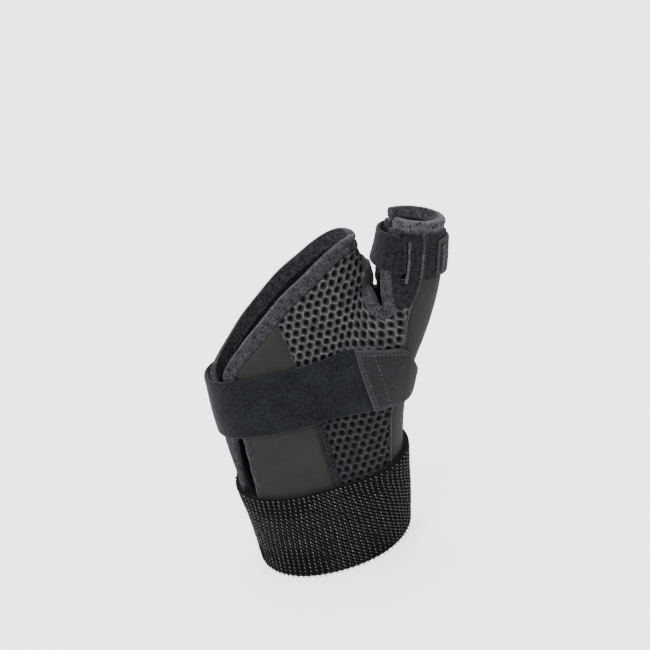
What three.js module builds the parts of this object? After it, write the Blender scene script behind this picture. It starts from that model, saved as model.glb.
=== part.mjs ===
// Thumb spica splint for a right hand, millimetres, +Z up the limb toward the fingers,
// -Y the palmar side, +X the thumb side. The cloth is laid over a plain form of the
// space it was worn on; that form itself is never built.
import * as THREE from 'three';

// sizes of the whole splint
const splintLength = 158;      // lowest hem to the top of the thumb rim
const palmHalfBreadth = 38;    // half breadth of the space inside, at the palm
const wristHalfDepth = 25;     // half depth of the space inside, at the wrist
const thumbRadius = 16.6;      // widest radius of the space inside the thumb part
const thumbReach = 66;         // limb axis to thumb axis at the thumb rim
const thumbSink = 11;          // how far palmar the thumb axis lies at the rim
const webBlend = 9;            // softness of the hollow between palm and thumb
const webFlare = 3.6;          // how far the index side flares toward the thumb at the web

// cloth thicknesses and clearances
const panelWall = 2.4;
const liningGap = 0.3;         // panels float this far off the inner form
const layerGap = 0.4;          // between two stacked layers of cloth
const seamGap = 0.4;           // between two panels sewn edge to edge
const bindingThick = 3.0;
const cuffWall = 2.6;
const strapWall = 1.8;
const tabWall = 2.0;
const thumbStrapWall = 1.6;

// widths and lengths of the pieces
const cuffHeight = 40;
const underCuff = 27;          // how far the panels run down inside the cuff
const wristStrapWidth = 28;
const wristTabLength = 29;
const palmBindingWidth = 6.8;
const thumbBindingWidth = 5.6;
const rimWidth = 4.8;
const thumbStrapWidth = 15.4;
const thumbTabLength = 15;
const thumbTabWidth = 15;
const slotWidth = 2.3;
const slotInset = 6.4;           // slot to the radial seam
const slotLength = 19.4;
const slotClear = 1.6;           // slot to the top edge of its flap
const rimClear = 2.2;            // thumb strap to the foot of the rim
const tabDrop = 2.2;             // how far the wrist tab's far end hangs below the strap

const rad = Math.PI / 180;
const lerp = (a, b, t) => a + (b - a) * t;
const clamp = (v, a, b) => Math.min(b, Math.max(a, v));
const ease = (v, a, b) => { const t = clamp((v - a) / (b - a), 0, 1); return t * t * (3 - 2 * t); };
const up = (share) => share * splintLength;
const out = (share) => share * palmHalfBreadth;

// smooth curve through rows; the first column is the position, the rest are values
function through(rows) {
  const at = rows.map((row) => row[0]);
  const slope = rows.map((row, i) => row.slice(1).map((value, k) => {
    const before = rows[Math.max(i - 1, 0)], after = rows[Math.min(i + 1, rows.length - 1)];
    return (after[k + 1] - before[k + 1]) / (after[0] - before[0]);
  }));
  return (where) => {
    const t = clamp(where, at[0], at[at.length - 1]);
    let i = 0;
    while (i < at.length - 2 && t > at[i + 1]) i += 1;
    const h = at[i + 1] - at[i], u = (t - at[i]) / h;
    return slope[i].map((m, k) => {
      const y0 = rows[i][k + 1], y1 = rows[i + 1][k + 1], m0 = m * h, m1 = slope[i + 1][k] * h;
      return (2 * u ** 3 - 3 * u ** 2 + 1) * y0 + (u ** 3 - 2 * u ** 2 + u) * m0
        + (-2 * u ** 3 + 3 * u ** 2) * y1 + (u ** 3 - u ** 2) * m1;
    });
  };
}

// palm and forearm space: height, centre, half breadth, half depth, squareness
// shares of splintLength, palmHalfBreadth, palmHalfBreadth, wristHalfDepth
const limbRows = [
  [-0.215, -0.053, 0.829, 1.08, 2.2],
  [-0.127, -0.055, 0.826, 1.07, 2.2],
  [0.0, -0.021, 0.882, 1.0, 2.2],
  [0.127, -0.02, 0.955, 0.9, 2.3],
  [0.285, -0.018, 1.005, 0.82, 2.4],
  [0.443, -0.021, 1.0, 0.74, 2.4],
  [0.601, -0.021, 1.008, 0.66, 2.4],
  [0.791, -0.039, 0.947, 0.58, 2.4],
  [0.949, -0.066, 0.947, 0.54, 2.4],
].map(([height, centre, half, deep, square]) => (
  [up(height), out(centre), out(half), deep * wristHalfDepth, square]));
const limbAt = through(limbRows);

// thumb axis: across, palmar, up, radius; shares of thumbReach, thumbSink, splintLength, thumbRadius
const thumbRows = [
  [0.258, 0.364, 0.177, 0.904],
  [0.379, 0.545, 0.323, 1.0],
  [0.515, 0.727, 0.449, 0.976],
  [0.659, 0.818, 0.538, 0.892],
  [0.788, 0.909, 0.62, 0.795],
  [0.879, 0.955, 0.709, 0.735],
  [0.947, 1.0, 0.797, 0.657],
  [1.0, 1.0, 0.873, 0.614],
].map(([across, palmar, height, radius]) => (
  [across * thumbReach, -palmar * thumbSink, up(height), radius * thumbRadius]));
const thumbAlong = through(thumbRows.map((row, i) => [i, ...row]));
const thumbLine = Array.from({ length: 28 }, (_, i) => thumbAlong(i * (thumbRows.length - 1) / 27));

// spine the radial rows turn about: height, across, palmar, lean of the row in degrees
const spineRows = [
  [up(-0.215), thumbReach * 0.09, 0, 0],
  [0, thumbReach * 0.144, 0, 0],
  [up(0.127), thumbReach * 0.2, -thumbSink * 0.2, 0],
  ...thumbRows.map(([x, y, z]) => [z, x, y, 17 * ease(z, up(0.16), up(0.7))]),
];
const spineAt = through(spineRows);

function limbGap(x, y, z) {
  const [cx, w, d, n] = limbAt(z);
  const a = Math.max(Math.abs(x - cx) / w, 1e-6), b = Math.max(Math.abs(y) / d, 1e-6);
  const g = (a ** n + b ** n) ** (1 / n);
  const gx = g ** (1 - n) * a ** (n - 1) / w, gy = g ** (1 - n) * b ** (n - 1) / d;
  return (g - 1) / Math.sqrt(gx * gx + gy * gy + 1e-12);
}
function thumbGap(x, y, z) {
  let best = 1e9;
  for (let i = 0; i < thumbLine.length - 1; i += 1) {
    const a = thumbLine[i], b = thumbLine[i + 1];
    const ux = b[0] - a[0], uy = b[1] - a[1], uz = b[2] - a[2];
    const t = clamp(((x - a[0]) * ux + (y - a[1]) * uy + (z - a[2]) * uz)
      / (ux * ux + uy * uy + uz * uz), 0, 1);
    const d = Math.hypot(x - a[0] - t * ux, y - a[1] - t * uy, z - a[2] - t * uz)
      - lerp(a[3], b[3], t);
    if (d < best) best = d;
  }
  return best;
}
function blend(a, b) {
  const h = Math.max(webBlend - Math.abs(a - b), 0) / webBlend;
  return Math.min(a, b) - h * h * webBlend / 4;
}
// below the slit both forms agree; above it each keeps to its own tube
const slitFloor = up(0.62);
const flareAt = (x, z) => webFlare * ease(x, out(0.8), out(1.1))
  * ease(z, slitFloor, up(0.677)) * (1 - ease(z, up(0.684), up(0.759)));
const palmForm = (x, y, z) => (
  blend(limbGap(x, y, z) - flareAt(x, z),
    thumbGap(x, y, z) + 26 * ease(z, slitFloor, up(0.785))));
const thumbForm = (x, y, z) => (
  blend(thumbGap(x, y, z), limbGap(x, y, z) + 22 * ease(z, slitFloor, up(0.734))));

function normalAt(form, p) {
  const e = 0.25;
  return new THREE.Vector3(
    form(p.x + e, p.y, p.z) - form(p.x - e, p.y, p.z),
    form(p.x, p.y + e, p.z) - form(p.x, p.y - e, p.z),
    form(p.x, p.y, p.z + e) - form(p.x, p.y, p.z - e)).normalize();
}
// walks out from an inner point to the form's surface
function outTo(form, x, y, z, dx, dy, dz) {
  let near = 0, was = form(x, y, z) < 0, far = 0;
  for (let t = 1.2; t < 70; t += 1.2) {
    const inside = form(x + dx * t, y + dy * t, z + dz * t) < 0;
    if (was && !inside) { near = t - 1.2; far = t; break; }
    was = inside;
  }
  for (let k = 0; k < 18; k += 1) {
    const mid = (near + far) / 2;
    if (form(x + dx * mid, y + dy * mid, z + dz * mid) < 0) near = mid; else far = mid;
  }
  const p = new THREE.Vector3(x + dx * near, y + dy * near, z + dz * near);
  return { p, n: normalAt(form, p) };
}
function settle(form, point) {
  const p = point.clone();
  for (let k = 0; k < 6; k += 1) p.addScaledVector(normalAt(form, p), -form(p.x, p.y, p.z));
  return { p, n: normalAt(form, p) };
}

// palm chart: x across the front or back, fanning round the little-finger side and, above
// the slit, round the index side
const ulnarFocus = out(-0.55), ulnarTurn = out(0.45);
const indexFocus = out(0.5), indexTurn = out(0.395);
const indexMiddle = indexFocus + indexTurn * Math.PI / 2;
const ulnarMiddle = ulnarFocus - ulnarTurn * Math.PI / 2;
function palmAt(side, x, z) {
  if (x < ulnarMiddle) return palmAt(-side, 2 * ulnarMiddle - x, z);
  if (x < ulnarFocus) {
    const turn = (ulnarFocus - x) / ulnarTurn;
    return outTo(palmForm, ulnarFocus, 0, z, -Math.sin(turn), side * Math.cos(turn), 0);
  }
  const round = ease(z, slitFloor, up(0.709));
  const past = Math.max(x - indexFocus, 0), from = x - past * round;
  const turn = round * past / indexTurn;
  const y = spineAt(z)[1] * ease(from, out(0.55), out(1.0));
  return outTo(palmForm, from, y, z, Math.sin(turn), side * Math.cos(turn), 0);
}
// radial chart: rows square to the thumb, turn in degrees from the palmar direction
function radialAt(turn, h) {
  const [x, y, lean] = spineAt(h);
  const s = Math.sin(turn * rad), c = Math.cos(turn * rad);
  return outTo(thumbForm, x, y, h, s * Math.cos(lean * rad), -c, -s * Math.sin(lean * rad));
}
// height of a radial row where it crosses x
const rowZ = (h, x) => { const [sx, , lean] = spineAt(h); return h - Math.tan(lean * rad) * (x - sx); };
// back from a point on the surface to the radial chart
function radialFrom(p) {
  let h = p.z;
  for (let k = 0; k < 12; k += 1) h = p.z + Math.tan(spineAt(h)[2] * rad) * (p.x - spineAt(h)[0]);
  const [x, y, lean] = spineAt(h);
  return { turn: Math.atan2((p.x - x) / Math.cos(lean * rad), -(p.y - y)) / rad, h };
}
// seams: height share of splintLength, across share of palmHalfBreadth
const asCurve = (rows) => through(rows.map(([height, across]) => [up(height), out(across)]));
const patchSeam = asCurve([[-0.15, 0.11], [0.114, 0.087], [0.297, 0.04], [0.487, -0.032],
  [0.62, -0.126], [0.66, -0.16]]);
const radialSeam = asCurve([[-0.15, 0.7], [0.0, 0.73], [0.14, 0.77], [0.206, 0.823],
  [0.308, 0.91], [0.383, 1.05], [0.504, 1.229], [0.577, 1.335], [0.62, 1.43], [0.653, 1.52],
  [0.708, 1.612], [0.763, 1.676], [0.85, 1.76]]);
// the radial seam as a turn of the radial chart, for either side
function seamTurn(side, h) {
  let a = side < 0 ? 4 : 176, b = side < 0 ? 88 : 92;
  for (let k = 0; k < 20; k += 1) {
    const mid = (a + b) / 2, { p } = radialAt(mid, h);
    if (p.x < radialSeam(p.z)[0]) a = mid; else b = mid;
  }
  return (a + b) / 2;
}
const turnFor = (length, radius) => length / radius / rad;

// meshes
const parts = new THREE.Group();
parts.name = 'root';
function addPart(name, points, faces, look) {
  const geometry = new THREE.BufferGeometry();
  geometry.setAttribute('position', new THREE.Float32BufferAttribute(
    points.flatMap((p) => [p.x, p.y, p.z]), 3));
  geometry.setIndex(faces.flat());
  geometry.computeVertexNormals();
  const mesh = new THREE.Mesh(geometry, new THREE.MeshStandardMaterial({ ...look, metalness: 0 }));
  mesh.name = name;
  parts.add(mesh);
}
// thickens blocks of surface points into one closed layer; null cells are left open
function layUp(name, blocks, low, high, look) {
  const seen = new Map(), spots = [];
  const spotOf = (q) => {
    const key = [q.p.x, q.p.y, q.p.z].map((v) => Math.round(v * 200)).join();
    if (!seen.has(key)) { seen.set(key, spots.length); spots.push(q); }
    return seen.get(key);
  };
  const quads = [];
  for (const { grid, open = () => false } of blocks) {
    for (let r = 0; r < grid.length - 1; r += 1) {
      for (let c = 0; c < grid[r].length - 1; c += 1) {
        if (open(r, c)) continue;
        const q = [grid[r][c], grid[r][c + 1], grid[r + 1][c + 1], grid[r + 1][c]].map(spotOf);
        const kept = q.filter((v, i) => v !== q[(i + 3) % 4]);
        if (kept.length > 2) quads.push(kept);
      }
    }
  }
  const [a, b, c] = quads[Math.floor(quads.length / 2)].map((i) => spots[i]);
  const facing = new THREE.Vector3().crossVectors(
    b.p.clone().sub(a.p), c.p.clone().sub(a.p)).dot(a.n) > 0;
  if (!facing) quads.forEach((q) => q.reverse());
  const level = (v, q) => (typeof v === 'function' ? v(q) : v);
  const points = [
    ...spots.map((q) => q.p.clone().addScaledVector(q.n, level(high, q))),
    ...spots.map((q) => q.p.clone().addScaledVector(q.n, level(low, q)))];
  const n = spots.length, faces = [], edges = new Map();
  for (const q of quads) {
    for (let i = 1; i < q.length - 1; i += 1) {
      faces.push([q[0], q[i], q[i + 1]], [q[0] + n, q[i + 1] + n, q[i] + n]);
    }
    q.forEach((v, i) => edges.set(`${v},${q[(i + 1) % q.length]}`, [v, q[(i + 1) % q.length]]));
  }
  for (const [v, w] of edges.values()) {
    if (!edges.has(`${w},${v}`)) faces.push([v, v + n, w + n], [v, w + n, w]);
  }
  addPart(name, points, faces, look);
}
// closed bar from rings of points; each ring runs the same way round
function barOf(name, rings, look) {
  const points = rings.flat(), n = rings[0].length, faces = [];
  for (let r = 0; r < rings.length - 1; r += 1) {
    for (let i = 0; i < n; i += 1) {
      const a = r * n + i, b = r * n + (i + 1) % n;
      faces.push([a, b, b + n], [a, b + n, a + n]);
    }
  }
  const cap = (start, flip) => {
    for (let i = 1; i < n - 1; i += 1) {
      faces.push(flip ? [start, start + i + 1, start + i] : [start, start + i, start + i + 1]);
    }
  };
  cap(0, true); cap((rings.length - 1) * n, false);
  let volume = 0;
  for (const [i, j, k] of faces) {
    volume += points[i].dot(new THREE.Vector3().crossVectors(points[j], points[k]));
  }
  if (volume < 0) faces.forEach((f) => f.reverse());
  addPart(name, points, faces, look);
}
const steps = (count, from = 0, to = 1) => (
  Array.from({ length: count + 1 }, (_, i) => lerp(from, to, i / count)));
// rolled section: share across the half width, lift above the form
const rolled = [[-1, 0.42], [-0.86, 0.86], [-0.5, 1.0], [0.1, 0.93], [0.9, 0.86], [1, 0.72],
  [0.94, 0.06], [-0.9, 0.08]].map(([across, lift]) => [across, 0.2 + lift * bindingThick]);

const panelLow = liningGap, panelHigh = liningGap + panelWall;
const overPanel = panelHigh + layerGap;
const overBinding = Math.max(0.2 + bindingThick, panelHigh) + 0.42;

const laminate = { color: 0x434240, roughness: 0.72 };
const mesh3d = { color: 0x3a3a3b, roughness: 0.92 };
const plush = { color: 0x2a2a2c, roughness: 0.96 };
const loopPile = { color: 0x232326, roughness: 0.97 };
const elastic = { color: 0x23252b, roughness: 0.9 };
const ribbed = { color: 0x1a1a1b, roughness: 0.93 };
const hookTab = { color: 0x3a3c3e, roughness: 0.85 };
const fleece = { color: 0x55565a, roughness: 0.95 };

// palm edge: outer edge of the binding, across share of palmHalfBreadth, height share of
// splintLength, width share of palmBindingWidth; the back wing starts further round
const wingStart = {
  '-1': [[-0.87, 0.386, 0.24], [-0.905, 0.43, 0.63], [-0.93, 0.475, 0.95], [-0.925, 0.503, 1]],
  1: [[-1.6, 0.345, 0.12], [-1.54, 0.4, 0.62], [-1.38, 0.44, 0.9], [-1.17, 0.472, 1],
    [-1.0, 0.503, 1]],
};
const palmEdgeRows = [[-0.815, 0.542, 1],
  [-0.63, 0.582, 1], [-0.32, 0.645, 1], [-0.02, 0.703, 1], [0.25, 0.742, 1],
  [0.53, 0.782, 1], [0.82, 0.806, 1], [1.0, 0.807, 1], [1.12, 0.801, 1]];
function palmEdge(side) {
  const rows = [...wingStart[side], ...palmEdgeRows];
  const along = through(rows.map(([x, z, w], i) => [i, out(x), up(z), w * palmBindingWidth]));
  const last = rows.length - 1;
  const list = steps(4 * last).map((t) => {
    const [x, z, w] = along(t * last), [xa, za] = along(Math.max(t * last - 0.05, 0));
    const [xb, zb] = along(Math.min(t * last + 0.05, last));
    const m = Math.hypot(xb - xa, zb - za);
    return { x, z, w, nx: (zb - za) / m, nz: -(xb - xa) / m };
  });
  const end = list[list.length - 1];
  end.x = indexMiddle; end.nx = 0; end.nz = -1;
  return list;
}
// reads a broken line as a height over x
const overX = (rows) => (x) => {
  let i = 0;
  while (i < rows.length - 2 && x > rows[i + 1][0]) i += 1;
  const t = clamp((x - rows[i][0]) / (rows[i + 1][0] - rows[i][0]), 0, 1);
  return lerp(rows[i][1], rows[i + 1][1], t);
};
const rising = (rows) => rows.filter((row, i) => (
  rows.slice(0, i).every((r) => r[0] < row[0] - 1e-3)));
// inner edge of that binding, for the tops of the panels
const panelTop = (side) => overX(rising(palmEdge(side).map((q) => (
  [q.x + q.nx * (q.w + seamGap), q.z + q.nz * (q.w + seamGap)]))));
const wingEdge = {
  '-1': asCurve([[-0.15, -0.82], [0.4, -0.82]]),
  1: asCurve([[-0.15, -1.36], [0.12, -1.43], [0.18, -1.476], [0.29, -1.565], [0.345, -1.575]]),
};

function palmBinding() {
  const ring = (side, q) => rolled.map(([across, lift]) => {
    const a = (across + 1) / 2 * q.w;
    const { p, n } = palmAt(side, q.x + q.nx * a, q.z + q.nz * a);
    return p.addScaledVector(n, lift);
  });
  const half = (side) => palmEdge(side).filter((_, i) => i % 2 === 0).map((q) => ring(side, q));
  barOf('edge_binding', [...half(-1), ...half(1).slice(0, -1).reverse()], plush);
}

// foot of the rim, and where the rim ends on the web side
const rimFoot = up(0.812), rimTurn = -51;

// thumb hole: centre line of the binding. Over the web and down the palm's side as a turn
// about the index side, up the thumb as a turn of the radial chart, with height shares
const webArm = [[90, 0.715], [83, 0.708], [77, 0.697], [72, 0.68], [69, 0.662]];
const thumbArm = [[-36, 0.638], [-41, 0.658], [-46, 0.68], [-49, 0.705], [-50, 0.75]];
// round foot of the slit: centre and radius of the centre line
const footX = out(1.108), footZ = up(0.624), footRadius = thumbBindingWidth * 0.62;
function thumbHole(side) {
  const points = webArm.map(([turn, z]) => outTo(palmForm, indexFocus, 0, up(z),
    Math.sin(turn * rad), side * Math.cos(turn * rad), 0).p);
  const footFrom = points.length;
  for (let angle = 180; angle <= 360; angle += 30) {
    const x = footX + footRadius * Math.cos(angle * rad);
    const z = footZ + footRadius * Math.sin(angle * rad);
    points.push(outTo(angle < 270 ? palmForm : thumbForm, x, spineAt(z)[1], z, 0, side, 0).p);
  }
  const footBottom = footFrom + 3;
  thumbArm.forEach(([turn, z]) => points.push(radialAt(side < 0 ? turn : 180 - turn, up(z)).p));
  points.push(radialAt(side < 0 ? rimTurn + 5 : 175 - rimTurn, rimFoot - seamGap).p);
  const curve = new THREE.CatmullRomCurve3(points, false, 'centripetal');
  curve.arcLengthDivisions = 400;
  const lengths = curve.getLengths();
  const turnShare = lengths[Math.round(400 * footBottom / (points.length - 1))] / lengths[400];
  return steps(30).map((t) => {
    const form = t < turnShare + 0.01 ? palmForm : thumbForm;
    const { p, n } = settle(form, curve.getPointAt(t));
    let ahead = curve.getTangentAt(t);
    if (t === 0) ahead = new THREE.Vector3(0, ahead.y, 0).normalize();
    // the sideways direction points away from the slit
    const sideways = new THREE.Vector3().crossVectors(ahead, n).normalize();
    if (side > 0) sideways.negate();
    const reach = (across) => settle(form, p.clone().addScaledVector(
      sideways, across * thumbBindingWidth / 2));
    return { t, form, p, n, reach };
  });
}
const holes = { '-1': thumbHole(-1), 1: thumbHole(1) };
function thumbHoleBinding() {
  const ring = (q) => rolled.map(([across, lift]) => {
    const { p, n } = q.reach(across);
    return p.clone().addScaledVector(n, lift);
  });
  barOf('thumb_hole_binding', [
    ...holes[-1].map(ring).reverse(), ...holes[1].slice(1).map(ring)], plush);
}
const outerShare = 1 + 3.7 * seamGap / thumbBindingWidth;

// panels of one side
const flapFoot = up(0.614), panelFoot = up(0.114) - underCuff;
function sidePanels(side, title) {
  const topAt = panelTop(side);
  const edge = holes[side].map((q) => ({ t: q.t, form: q.form, p: q.reach(outerShare).p }));
  // outer edge of the thumb hole binding: over the web, then round the foot of the slit
  const splitAt = edge.findIndex((q) => q.p.z < slitFloor);
  const web = edge.slice(splitAt).filter((q) => q.p.z < slitFloor).map((q) => [q.p.x, q.p.z]);
  const [splitX, splitZ] = web[0];
  const underHole = overX(rising(web));
  const lastX = Math.max(...web.map((q) => q[0]));
  const lowTop = (x) => {
    const row = rowZ(flapFoot - seamGap, x);
    return x > lastX ? row : Math.min(underHole(x - 0.6), underHole(x), underHole(x + 1.2), row);
  };

  // smooth patch on the little-finger side
  const patch = steps(17).map((v) => steps(side < 0 ? 7 : 12).map((u) => {
    const across = (z) => lerp(wingEdge[side](z)[0], patchSeam(z)[0] - seamGap / 2, u);
    let a = up(0.2), b = up(0.8);
    for (let k = 0; k < 24; k += 1) {
      const mid = (a + b) / 2;
      if (mid < topAt(across(mid))) a = mid; else b = mid;
    }
    const z = lerp(panelFoot, a, v);
    return palmAt(side, across(z), z);
  }));
  layUp(`${title}_patch`, [{ grid: patch }], panelLow, panelHigh, laminate);

  // spacer mesh: below the slit, above it, and round the index side
  const left = (z) => patchSeam(z)[0] + seamGap / 2, right = (z) => radialSeam(z)[0] - seamGap / 2;
  const split = (splitX - left(splitZ)) / (right(splitZ) - left(splitZ));
  const shares = [...steps(5, 0, split),
    ...[0.08, 0.18, 0.3, 0.45, 0.7, 1].map((t) => lerp(split, 1, t))];
  const across = (c, z) => lerp(left(z), right(z), c);
  const tops = shares.map((c) => {
    let a = up(0.4), b = up(0.7);
    for (let k = 0; k < 24; k += 1) {
      const mid = (a + b) / 2, x = across(c, mid);
      if (mid < (c > split + 1e-6 ? lowTop(x) : Math.min(splitZ, topAt(x)))) a = mid; else b = mid;
    }
    return (a + b) / 2;
  });
  const low = steps(15).map((v) => shares.map((c, i) => {
    const z = lerp(panelFoot, tops[i], v);
    return palmAt(side, across(c, z), z);
  }));
  // above the slit, rows run level from the patch seam to the thumb hole's edge, and over it
  // to the middle of the index side
  const lowTopRow = low[low.length - 1].slice(0, 6);
  const endX = indexMiddle - seamGap / 2, overHole = palmAt(side, endX, edge[0].p.z);
  const rightEdge = [lowTopRow[5],
    ...edge.slice(1, splitAt).reverse().map((q) => settle(palmForm, q.p)), overHole,
    ...steps(3, overHole.p.z, topAt(endX)).slice(1).map((z) => palmAt(side, endX, z))];
  const climb = (q) => (q.p.z - splitZ) / (topAt(endX) - splitZ);
  const high = rightEdge.map((q, r) => lowTopRow.slice(0, 5).map((foot, i) => {
    if (r === 0) return foot;
    const x = across(shares[i], tops[i]) - 2.4 * climb(q) * i / 4;
    return palmAt(side, x, lerp(tops[i], topAt(x), clamp(climb(q), 0, 1)));
  }));
  const bridge = rightEdge.map((q, r) => steps(4).map((u) => (u === 0 ? high[r][4]
    : u === 1 || r === 0 ? q : settle(palmForm, high[r][4].p.clone().lerp(q.p, u)))));
  layUp(`${title}_mesh`, [{ grid: high }, { grid: low }, { grid: bridge }], panelLow, panelHigh,
    mesh3d);

  // thumb flap with its slot
  const arm = edge.filter((q) => q.form === thumbForm).map((q) => radialFrom(q.p))
    .map((q) => [q.h, side < 0 ? q.turn : 180 - (q.turn < 0 ? q.turn + 360 : q.turn)]);
  const armTurn = overX(rising(arm));
  const radiusAt = (h) => radialAt(side < 0 ? 10 : 170, h).p.distanceTo(
    new THREE.Vector3(spineAt(h)[0], spineAt(h)[1], h));
  const slotTop = rimFoot - seamGap - slotClear, slotFoot = slotTop - slotLength;
  const flapHs = [...steps(3, flapFoot, slotFoot), ...steps(4, slotFoot, slotTop).slice(1),
    rimFoot - seamGap];
  const flap = flapHs.map((h) => {
    const radius = radiusAt(h), valley = 1 - ease(h, flapFoot, flapFoot + 9);
    const fromTurn = armTurn(h) + turnFor((1.3 + 1.2 * valley) * seamGap, radius);
    const seam = seamTurn(side, h);
    const toTurn = (side < 0 ? seam : 180 - seam) - turnFor(seamGap / 2, radius);
    const room = toTurn - fromTurn, wide = Math.min(turnFor(slotWidth / 2, radius), room * 0.12);
    const least = h < slotFoot - 1 ? fromTurn + room * 0.45 : -90;
    const slot = Math.max(toTurn - turnFor(slotInset, radius), least);
    return [...steps(3, fromTurn, slot - wide), slot + wide, toTurn]
      .map((turn) => radialAt(side < 0 ? turn : 180 - turn, h));
  });
  layUp(`${title}_thumb_flap`, [{ grid: flap, open: (r, c) => r > 2 && r < 7 && c === 3 }],
    panelLow, panelHigh, loopPile);
}

function radialPanel() {
  const rows = steps(30, panelFoot, rimFoot - seamGap).map((h) => {
    const from = seamTurn(-1, h), to = seamTurn(1, h);
    const radius = radialAt(60, h).p.distanceTo(new THREE.Vector3(spineAt(h)[0], spineAt(h)[1], h));
    const back = turnFor(seamGap / 2, radius);
    return steps(9, from + back, to - back).map((turn) => radialAt(turn, h));
  });
  layUp('radial_panel', [{ grid: rows }], panelLow, panelHigh, laminate);
}

function thumbRim() {
  const rings = steps(26, rimTurn, 180 - rimTurn).map((turn) => rolled.map(([across, lift]) => {
    const { p, n } = radialAt(turn, rimFoot + rimWidth * (1 - across) / 2);
    return p.clone().addScaledVector(n, lift);
  }));
  barOf('thumb_rim', rings, fleece);
}

// forearm cuff: a closed ring, higher on the thumb side and at the back
function forearmCuff() {
  const grid = [0, 0.03, ...steps(4, 0.18, 0.82), 0.97, 1].map((v) => steps(44).map((u) => {
    const a = u * 2 * Math.PI, [cx, w, d, n] = limbAt(0);
    const x = cx + w * Math.sign(Math.sin(a)) * Math.abs(Math.sin(a)) ** (2 / n);
    const y = -d * Math.sign(Math.cos(a)) * Math.abs(Math.cos(a)) ** (2 / n);
    const z = (v - 0.5) * cuffHeight + 0.15 * y + 0.06 * x + up(0.011);
    const m = Math.hypot(x - cx, y);
    return { ...outTo(palmForm, cx, 0, z, (x - cx) / m, y / m, 0), hem: v === 0 || v === 1 };
  }));
  const middle = overPanel + cuffWall / 2;
  layUp('forearm_cuff', [{ grid }], (q) => middle - cuffWall * (q.hem ? 0.25 : 0.5),
    (q) => middle + cuffWall * (q.hem ? 0.25 : 0.5), ribbed);
}

// wrist strap from the tab round the little-finger side to the back of the thumb side
const tabLevelX = out(0.737);      // where the strap gives the wrist tab its level
const strapMiddle = (x) => up(0.405) + 0.1 * Math.max(x, 0) + 0.035 * clamp(x, ulnarMiddle, 0);
const tabEdgeX = (z) => out(0.79) + 0.015 * (z - up(0.42));
const hemRows = [0, 0.04, 0.27, 0.5, 0.73, 0.96, 1];
function wristStrap() {
  const backEnd = 2 * ulnarMiddle - out(0.98);
  const grid = hemRows.map((v) => steps(40).map((u) => {
    const startX = tabEdgeX(strapMiddle(tabLevelX) + (v - 0.5) * wristStrapWidth) - seamGap;
    const x = lerp(startX, backEnd, u), mirrored = x < ulnarMiddle ? 2 * ulnarMiddle - x : x;
    const z = strapMiddle(mirrored) + (v - 0.5) * wristStrapWidth;
    return { ...palmAt(-1, x, z), hem: v === 0 || v === 1 };
  }));
  const middle = overBinding + strapWall / 2;
  layUp('wrist_strap', [{ grid }], (q) => middle - strapWall * (q.hem ? 0.3 : 0.5),
    (q) => middle + strapWall * (q.hem ? 0.3 : 0.5), elastic);
}
// a point of the radial chart at a wanted height
function radialLevel(turn, z) {
  let h = z;
  for (let k = 0; k < 6; k += 1) h += z - radialAt(turn, h).p.z;
  return radialAt(turn, h);
}
function wristStrapTab() {
  const startTurn = (z) => {
    let a = -60, b = 60;
    for (let k = 0; k < 18; k += 1) {
      const mid = (a + b) / 2;
      if (radialLevel(mid, z).p.x < tabEdgeX(z)) a = mid; else b = mid;
    }
    return (a + b) / 2;
  };
  const span = turnFor(wristTabLength, thumbRadius + overBinding);
  const grid = hemRows.map((v) => {
    const from = startTurn(strapMiddle(tabLevelX) + (v - 0.5) * wristStrapWidth);
    return [0, 0.14, 0.28, 0.42, 0.56, 0.68, 0.79, 0.88, 0.95, 1].map((u) => {
      const bend = Math.max(u - 0.45, 0) / 0.55;
      const half = wristStrapWidth * (0.5 + 0.02 * u) * (1 - 0.6 * (1 - Math.sqrt(1 - bend ** 3)));
      const z = strapMiddle(tabLevelX) - tabDrop * u + (v - 0.5) * 2 * half;
      return { ...radialLevel(from + span * u, z), hem: v === 0 || v === 1 || u === 1 };
    });
  });
  const middle = overBinding + tabWall / 2;
  layUp('wrist_strap_tab', [{ grid }], (q) => middle - tabWall * (q.hem ? 0.3 : 0.5),
    (q) => middle + tabWall * (q.hem ? 0.3 : 0.5), hookTab);
}

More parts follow.
